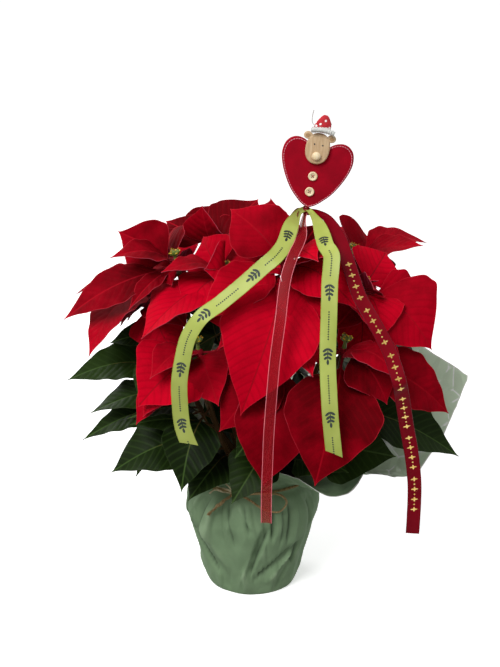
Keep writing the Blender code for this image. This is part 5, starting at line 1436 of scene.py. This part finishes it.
BUTTON_SIDE, BUTTON_HEIGHTS, HOLE_AWAY = -0.0014, (0.0180, 0.0345), 0.0011
BUTTON_OUTLINE = ((0, 0.0007), (0.0027, 0.0007), (0.0033, 0.0003), (0.0039, 0.0), (0.0045, 0.0002),
                  (0.0048, 0.0008), (0.0047, 0.0015), (0.0042, 0.0020), (0, 0.0020))
flat = Matrix.Rotation(math.radians(-90), 3, "X")
front = -HEART_THICK / 2 - GAP - 0.0020
for k, height in enumerate(BUTTON_HEIGHTS):
    button = PickGather()
    turned(button, BUTTON_OUTLINE, 40, middle=(BUTTON_SIDE, front, height), turn=flat)
    for x in (-HOLE_AWAY, HOLE_AWAY):
        for z in (-HOLE_AWAY, HOLE_AWAY):
            hole = (BUTTON_SIDE + x, front + 0.0007, height + z)
            bead(button, hole, (0.00062, 0.00012, 0.00062), None, 1, 10, 5)
    for lean in (-1, 1):
        ends = [(BUTTON_SIDE + t * HOLE_AWAY, front + 0.0006, height + t * lean * HOLE_AWAY)
                for t in (-0.9, 0.9)]
        thread = smooth_line([ends[0], (BUTTON_SIDE, front + 0.0002, height), ends[1]], 4)
        sweep(button, thread, 0.00022, sides=5, kind=2)
    finishes = [cream_wood, black_paint, red_felt]
    button.make(f"wooden_button_{k + 1}", finishes, [f"pick_button_{k + 1}"], "cream_wood")

stick = PickGather()
stick_length = (PICK_POINT - STICK_FOOT).length
stick_z = np.linspace(0.030, -stick_length, 40)
stick_half = STICK_RADIUS * (1 - 0.03 * np.sin(160 * stick_z))
sweep(stick, [(0.0001 * math.sin(90 * z), STICK_BACK, z) for z in stick_z], stick_half, sides=14)
stick.make("bamboo_stick", [stick_wood], ["pick_stick"], "pale_wood")
print("stick in mm:", round(1000 * (stick_z[0] - stick_z[-1])))

# %% [markdown]
# The hat is a scrap of spotted cotton, folded to a soft cone and stiff at its fold, above a torn
# strip of white felt. A loop of thread hangs from it. The spots are white discs printed on the
# cloth, so they are laid on it as thin patches that follow its curve.

# %% Hat, brim and thread
HAT_MIDDLE, HAT_LEAN, HAT_FOOT = -0.0027, 0.10, HEAD_MIDDLE + HEAD_SIZE[1] + 2 * GAP
HAT_RINGS = ((0.0, 0.0076, 0.0030), (0.0005, 0.0081, 0.0033), (0.0060, 0.0085, 0.0035),
             (0.0100, 0.0074, 0.0032), (0.0130, 0.0058, 0.0028), (0.0160, 0.0038, 0.0022),
             (0.0176, 0.0020, 0.0014))
HAT_SIDES, SPOT_RADIUS, SPOT_THICK = 40, 0.0012, 0.0004
hat_cloth = skin("red cotton cloth", "#B01824", "#C8202E", 380,
                 {"Roughness": 0.8, "IOR": 1.5, "Sheen_Weight": 0.1}, 0.3)
spot_white = skin("white printed spots", "#EFE6E2", "#FFFFFF", 500, {"Roughness": 0.8, "IOR": 1.5})
face_front = head_front - GAP
hat_back = face_front + HEAD_THICK / 2 + 0.0015


def hat_point(height, angle):
    """A point on the hat's skin at this height above its foot."""
    rings = np.array(HAT_RINGS)
    wide, deep = (np.interp(height, rings[:, 0], rings[:, k]) for k in (1, 2))
    pinch = 1 + 0.07 * math.sin(3 * angle + 160 * height)
    across = HAT_MIDDLE + HAT_LEAN * height + wide * math.cos(angle) * pinch
    return Vector((across, hat_back + deep * math.sin(angle) * pinch, HAT_FOOT + height))


hat = PickGather()
hat_heights = np.interp(np.linspace(0, 6, 31), range(7), [r[0] for r in HAT_RINGS])
hat_points = [hat_point(h, 2 * math.pi * k / HAT_SIDES) for h in hat_heights for k in range(HAT_SIDES)]
hat.add([tuple(p) for p in hat_points], ring_faces(len(hat_heights), HAT_SIDES, capped=True))
# Each spot's height above the hat's foot and its angle round the hat
SPOTS = ((0.0085, 4.35), (0.0050, 5.25), (0.0035, 4.55), (0.0125, 4.95), (0.0060, 3.85), (0.0060, 5.75),
         (0.0085, 1.4), (0.0130, 1.9), (0.0050, 2.3), (0.0040, 0.8), (0.0100, 0.2), (0.0090, 3.1))
for height, angle in SPOTS:
    centre, off = hat_point(height, angle), 0.0004
    right = (hat_point(height, angle + off) - hat_point(height, angle - off)).normalized()
    above = (hat_point(height + off, angle) - hat_point(height - off, angle)).normalized()
    out = right.cross(above).normalized()
    disc = [centre + out * 0.00022 + (right * math.cos(t) + above * math.sin(t)) * SPOT_RADIUS
            for t in circle(12)]
    patch(hat, disc, [p - out * SPOT_THICK for p in disc], 1)
THREAD = ((0.001, 0, 0), (-0.0035, 0, 0.003), (-0.0050, 0, 0.009), (-0.0048, 0, 0.016))
thread_from = Vector((HAT_MIDDLE - 0.0065, hat_back - 0.0015, HAT_FOOT + 0.005))
thread = [thread_from + Vector(step) for step in THREAD]
sweep(hat, smooth_line(thread, 6), 0.00045, sides=7, kind=2)
hat.make("spotted_hat", [hat_cloth, spot_white, pale_thread], ["pick_hat"], "hat_cotton")

BRIM_MIDDLE, BRIM_REACH, BRIM_RISE, BRIM_RADIUS = -0.0012, 0.0120, 0.0184, 0.0030


def brim_point(across):
    """The middle of the brim at this place from -1, its left end, to 1."""
    rise = BRIM_RISE + 0.0020 * math.cos(math.pi / 2 * across)
    return Vector((BRIM_MIDDLE + BRIM_REACH * across, face_front - BRIM_RADIUS, HEAD_MIDDLE + rise))


brim = PickGather()
brim_share = np.linspace(-1, 1, 60)
draw = np.random.default_rng(11)
brim_half = 0.0027 + 0.0003 * np.sin(31 * brim_share) + 0.00025 * draw.uniform(-1, 1, 60)
sweep(brim, [brim_point(t) for t in brim_share], brim_half, 0.9 * brim_half[::-1], sides=16)
for k in range(260):
    t, a = draw.uniform(-1, 1), draw.uniform(0, 2 * math.pi)
    root = brim_point(t) + Vector((0, 0.0022 * math.sin(a), 0.0025 * math.cos(a)))
    way = Vector((draw.uniform(-0.9, 0.9), math.sin(a), math.cos(a))).normalized()
    sweep(brim, [root, root + way * draw.uniform(0.0004, 0.0011)], (0.00026, 0.0001), sides=4)
brim.make("felt_brim", [white_felt], ["pick_hat_brim"], "white_felt")
print("hat:", len(hat.faces), "faces, and its brim:", len(brim.faces))

# %% [markdown]
# Five ribbons hang from the knot under the heart: two of lime satin with a small dark print, two
# of burgundy satin, the longer one with gold print, and one of sheer red organza. Ribbon bends
# along its length but hardly across, so each one is a strip swept down its route, and how far
# each lies in front of the plant is read from its solid with a ray. Plain sprigs, dots and
# four-armed marks stand for the prints, in their colours and size.

# %% How the ribbons hang
# How far each ribbon leaves above the knot's middle, its route, and its width, in metres
RIBBONS = {
    "ribbon_burgundy_short": (0.0004, (
        (0.0430, -0.0465, 0.4478), (0.0370, -0.0540, 0.4330), (0.0335, -0.0700, 0.4150),
        (0.0350, -0.0880, 0.3980)), 0.0120),
    "ribbon_burgundy": (-0.0006, (
        (0.0760, -0.0580, 0.4450), (0.0870, -0.0780, 0.4310), (0.0960, -0.1000, 0.4080),
        (0.1060, -0.1220, 0.3800), (0.1180, -0.1360, 0.3600), (0.1340, -0.1460, 0.3320),
        (0.1440, -0.1480, 0.3030), (0.1500, -0.1460, 0.2770), (0.1560, -0.1420, 0.2480),
        (0.1630, -0.1380, 0.2150), (0.1680, -0.1340, 0.1790), (0.1690, -0.1320, 0.1430),
        (0.1690, -0.1320, 0.1210)), 0.0140),
    "ribbon_lime_left": (0.0020, (
        (0.0400, -0.0720, 0.4460), (0.0310, -0.0980, 0.4310), (0.0120, -0.1250, 0.4150),
        (-0.0100, -0.1440, 0.3970), (-0.0330, -0.1560, 0.3800), (-0.0490, -0.1640, 0.3700),
        (-0.0620, -0.1640, 0.3500), (-0.0680, -0.1620, 0.3270), (-0.0720, -0.1600, 0.3020),
        (-0.0720, -0.1560, 0.2780), (-0.0700, -0.1540, 0.2530), (-0.0640, -0.1540, 0.2330)), 0.0155),
    "ribbon_lime_right": (0.0020, (
        (0.0670, -0.0720, 0.4430), (0.0720, -0.1020, 0.4300), (0.0770, -0.1280, 0.4230),
        (0.0750, -0.1460, 0.4010), (0.0740, -0.1580, 0.3650), (0.0730, -0.1680, 0.3290),
        (0.0740, -0.1800, 0.3000), (0.0760, -0.1850, 0.2710), (0.0800, -0.1860, 0.2360)), 0.0155),
    "ribbon_organza": (-0.0025, (
        (0.0490, -0.0780, 0.4360), (0.0410, -0.1000, 0.4260), (0.0340, -0.1260, 0.4100),
        (0.0300, -0.1520, 0.3930), (0.0270, -0.1690, 0.3700), (0.0220, -0.1760, 0.3330),
        (0.0190, -0.1820, 0.3010), (0.0160, -0.1840, 0.2560), (0.0150, -0.1820, 0.2240),
        (0.0140, -0.1800, 0.1910), (0.0140, -0.1800, 0.1580)), 0.0100),
}
# How each ribbon's end is cut: how much longer its left edge is than its right one, in metres
END_CUTS = {"ribbon_lime_left": -0.012, "ribbon_lime_right": -0.010, "ribbon_burgundy": -0.002,
            "ribbon_organza": 0.0, "ribbon_burgundy_short": 0.004}
RIBBON_SHEET = 0.0003
GATHERED = 0.065        # how far below the knot a ribbon is still drawn narrow, in metres


def ribbon_grid(name, columns=11):
    """The ribbon's middle surface as a grid of points, root to end, left to right."""
    rise, points, width = RIBBONS[name]
    knot_middle = pick_frame @ Vector((0, STICK_BACK, -KNOT_DROP))
    way = ((Vector(points[0]) - knot_middle) * Vector((1, 1, 0))).normalized()
    route = smooth_line((knot_middle + way * (KNOT_RADIUS + 1.5 * GAP) + UP * rise, *points), 2)
    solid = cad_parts[name].data
    tree = BVHTree.FromPolygons([tuple(v.co) for v in solid.vertices],
                                [tuple(p.vertices) for p in solid.polygons])
    depth = route[1][1]
    for k in range(2, len(route)):
        x, z = route[k][0], route[k][2]
        hits = [tree.ray_cast(Vector((x, -1, z + up)), -FRONT)[0] for up in (0.0, 0.0008, 0.002, 0.004)]
        found = next((hit for hit in hits if hit), None)
        depth = found.y if found else depth
        route[k][1] = depth
    line = smooth_line(route, 5)
    along = unit(np.gradient(line, axis=0))
    side = unit(np.cross(along, (0, -0.85, 0.53)))
    normal = np.cross(side, along)
    q = np.linspace(-1, 1, columns)
    run = run_along(line)
    opened = np.clip(run / GATHERED, 0, 1)
    half = width / 2 * (0.34 + 0.66 * opened * opened * (3 - 2 * opened))
    seed = len(name)
    curl = (0.0006 * np.sin(run / 0.030 + seed) + 0.0016 * (1 - opened))[:, None] * (q ** 2 - 0.4)[None, :]
    lean = 0.0009 * np.sin(run / 0.045 + 2 * seed)[:, None] * q[None, :]
    grid = line[:, None, :] + side[:, None, :] * (half[:, None] * q)[..., None]
    grid = grid + normal[:, None, :] * (curl + lean)[..., None]
    end = np.clip((run - run[-1] + 0.030) / 0.030, 0, 1) ** 2
    grid = grid + along[:, None, :] * (END_CUTS[name] / 2 * end[:, None] * q)[..., None]
    return grid, run[-1], width


# %% [markdown]
# Satin ribbon is woven so that its face is smooth and shines along its threads, and its edges
# are corded. Organza is thin enough to look through. Foil and ink lie on the ribbon's face as
# patches a sixth of a millimetre thick.

# %% Ribbon finishes and prints
def satin(name, dark, light, shine=0.35):
    """Woven satin ribbon: a smooth warp face that shines along its threads, with a corded edge."""
    made, tree, shader = new_finish(name, Roughness=0.40, IOR=1.5, Specular_IOR_Level=shine)
    where = add(tree, "TexCoord").outputs["Object"]
    cloud = add(tree, "TexNoise", {"Scale": 40.0, "Detail": 2.0}, {"Vector": where})
    weft = add(tree, "TexNoise", {"Scale": 1500.0, "Detail": 2.0}, {"Vector": where})
    mixed = add(tree, "Mix", {"data_type": "RGBA", 6: linear(dark), 7: linear(light)}, {0: cloud})
    cover(tree, shader, mixed, weft, 0.2, 0.0002)
    return made


lime_satin = satin("lime satin", "#96A444", "#BCC66C", 0.20)
lime_edge = satin("lime selvedge", "#8C9C38", "#A8B650")
burgundy_satin = satin("burgundy satin", "#64000F", "#8A0219", 0.08)
burgundy_edge = satin("burgundy selvedge", "#540010", "#740418", 0.10)
dark_print = skin("dark green ink", "#14201A", "#22302A", 300, {"Roughness": 0.6, "IOR": 1.5})
gold_print = skin("gold foil print", "#C9A04A", "#E6C878", 300,
                  {"Roughness": 0.35, "IOR": 1.5, "Metallic": 0.6})
organza, _, _ = new_finish("red organza", Base_Color=linear("#98101C"), Roughness=0.5, IOR=1.45,
                           Specular_IOR_Level=0.2, Alpha=0.50)
PRINT_LIFT, PRINT_THICK = 0.00012, 0.00016
organza_edge = satin("red organza selvedge", "#D86070", "#EC8C94")


def printed(gather, grid, width, shapes, kind):
    """Lays flat shapes on the ribbon's face. A shape is its points as (across, along) in metres."""
    normals = grid_normals(grid)
    long, wide = grid.shape[:2]
    lines = run_along(grid[:, wide // 2])
    for shape in shapes:
        spots = []
        for across, along in shape:
            row = np.interp(along, lines, np.arange(long))
            column = (across / width + 0.5) * (wide - 1)
            i, j = min(int(row), long - 2), min(int(column), wide - 2)
            s, t = row - i, column - j
            corner = [grid[i, j], grid[i, j + 1], grid[i + 1, j], grid[i + 1, j + 1]]
            weight = [(1 - s) * (1 - t), (1 - s) * t, s * (1 - t), s * t]
            spot = sum(c * w for c, w in zip(corner, weight))
            spots.append(spot - normals[i, j] * (RIBBON_SHEET / 2 + PRINT_LIFT))
        patch(gather, spots, [p + normals[i, j] * PRINT_THICK for p in spots], kind)


def leaf_shape(x, y, angle, long, wide, count=8):
    """A pointed leaf outline that starts at (x, y)."""
    points = []
    for k in range(count):
        t = 2 * math.pi * k / count
        a, b = long * (0.5 - 0.5 * math.cos(t)), wide / 2 * math.sin(t)
        points.append((x + b * math.cos(angle) + a * math.sin(angle),
                       y - b * math.sin(angle) + a * math.cos(angle)))
    return points


def sprig(start):
    """A stem with seven leaves, about 17 mm long."""
    shapes = [leaf_shape(0, start, 0, 0.0135, 0.0012)]
    for k in range(3):
        for turn in (-0.95, 0.95):
            shapes.append(leaf_shape(0, start + 0.0012 + 0.0040 * k, turn, 0.0062 - 0.0008 * k, 0.0026))
    shapes.append(leaf_shape(0, start + 0.0120, 0, 0.0054, 0.0026))
    return shapes


def dotted(start, count, step, size):
    return [leaf_shape(0, start + k * step, 0, size, size, 6) for k in range(count)]


def sprig_print(length):
    shapes = []
    for start in np.arange(0.062, length - 0.030, 0.062):
        shapes += sprig(start) + dotted(start + 0.0270, 12, 0.0024, 0.0017)
    return shapes


def star_print(length):
    shapes = []
    for start in np.arange(0.090, length - 0.030, 0.0505):
        for k in range(7):
            y = start + 0.0060 * k
            if k % 2 == 0:
                shapes.append(leaf_shape(0, y - 0.0028, 0, 0.0056, 0.0020))
                shapes.append(leaf_shape(-0.0038, y, math.pi / 2, 0.0076, 0.0018))
            else:
                shapes += dotted(y - 0.0008, 1, 0, 0.0018)
    return shapes


# %% [markdown]
# Each ribbon is then a sheet with a cord along both edges and its print on its face. All of
# them hang from the knot of ribbon that is wound round the stick.

# %% Ribbons and their knot
PRINTS = {"ribbon_lime_left": sprig_print, "ribbon_lime_right": sprig_print,
          "ribbon_burgundy": star_print}
RIBBON_FINISHES = {"lime": (lime_satin, lime_edge, dark_print, "lime_satin"),
                   "burgundy": (burgundy_satin, burgundy_edge, gold_print, "burgundy_satin"),
                   "organza": (organza, organza_edge, gold_print, "red_organza")}
for name in RIBBONS:
    grid, length, width = ribbon_grid(name)
    face, edge, ink, slot = RIBBON_FINISHES[name.split("_")[1]]
    strip = Gather()
    add_sheet(strip, grid, RIBBON_SHEET, (0, 0, 0))
    for column in (0, -1):
        sweep(strip, grid[:, column], 0.00035, sides=5, kind=1)
    if name in PRINTS:
        printed(strip, grid, width, PRINTS[name](length), 2)
    piece = strip.make("strip_" + name, [face, edge, ink], [name], slot)
    print(name, "mm long:", round(1000 * length))

wound = PickGather()
for k in range(5):
    lift = -KNOT_DROP + 0.0012 * (k - 2)
    radius = 0.0040 + 0.0010 * math.sin(1.3 * k + 0.6)
    ring = [(radius * math.cos(a), STICK_BACK + radius * math.sin(a), lift + 0.0006 * math.sin(a * 2 + k))
            for a in circle(26)]
    sweep(wound, ring, 0.0008, 0.0011, sides=8, closed=True)
bead(wound, (0, STICK_BACK - 0.0015, -KNOT_DROP), (0.0036, 0.0040, 0.0034), None, 0, 20, 11)
wound.make("wound_knot", [burgundy_satin], ["ribbon_knot"], "burgundy_satin")
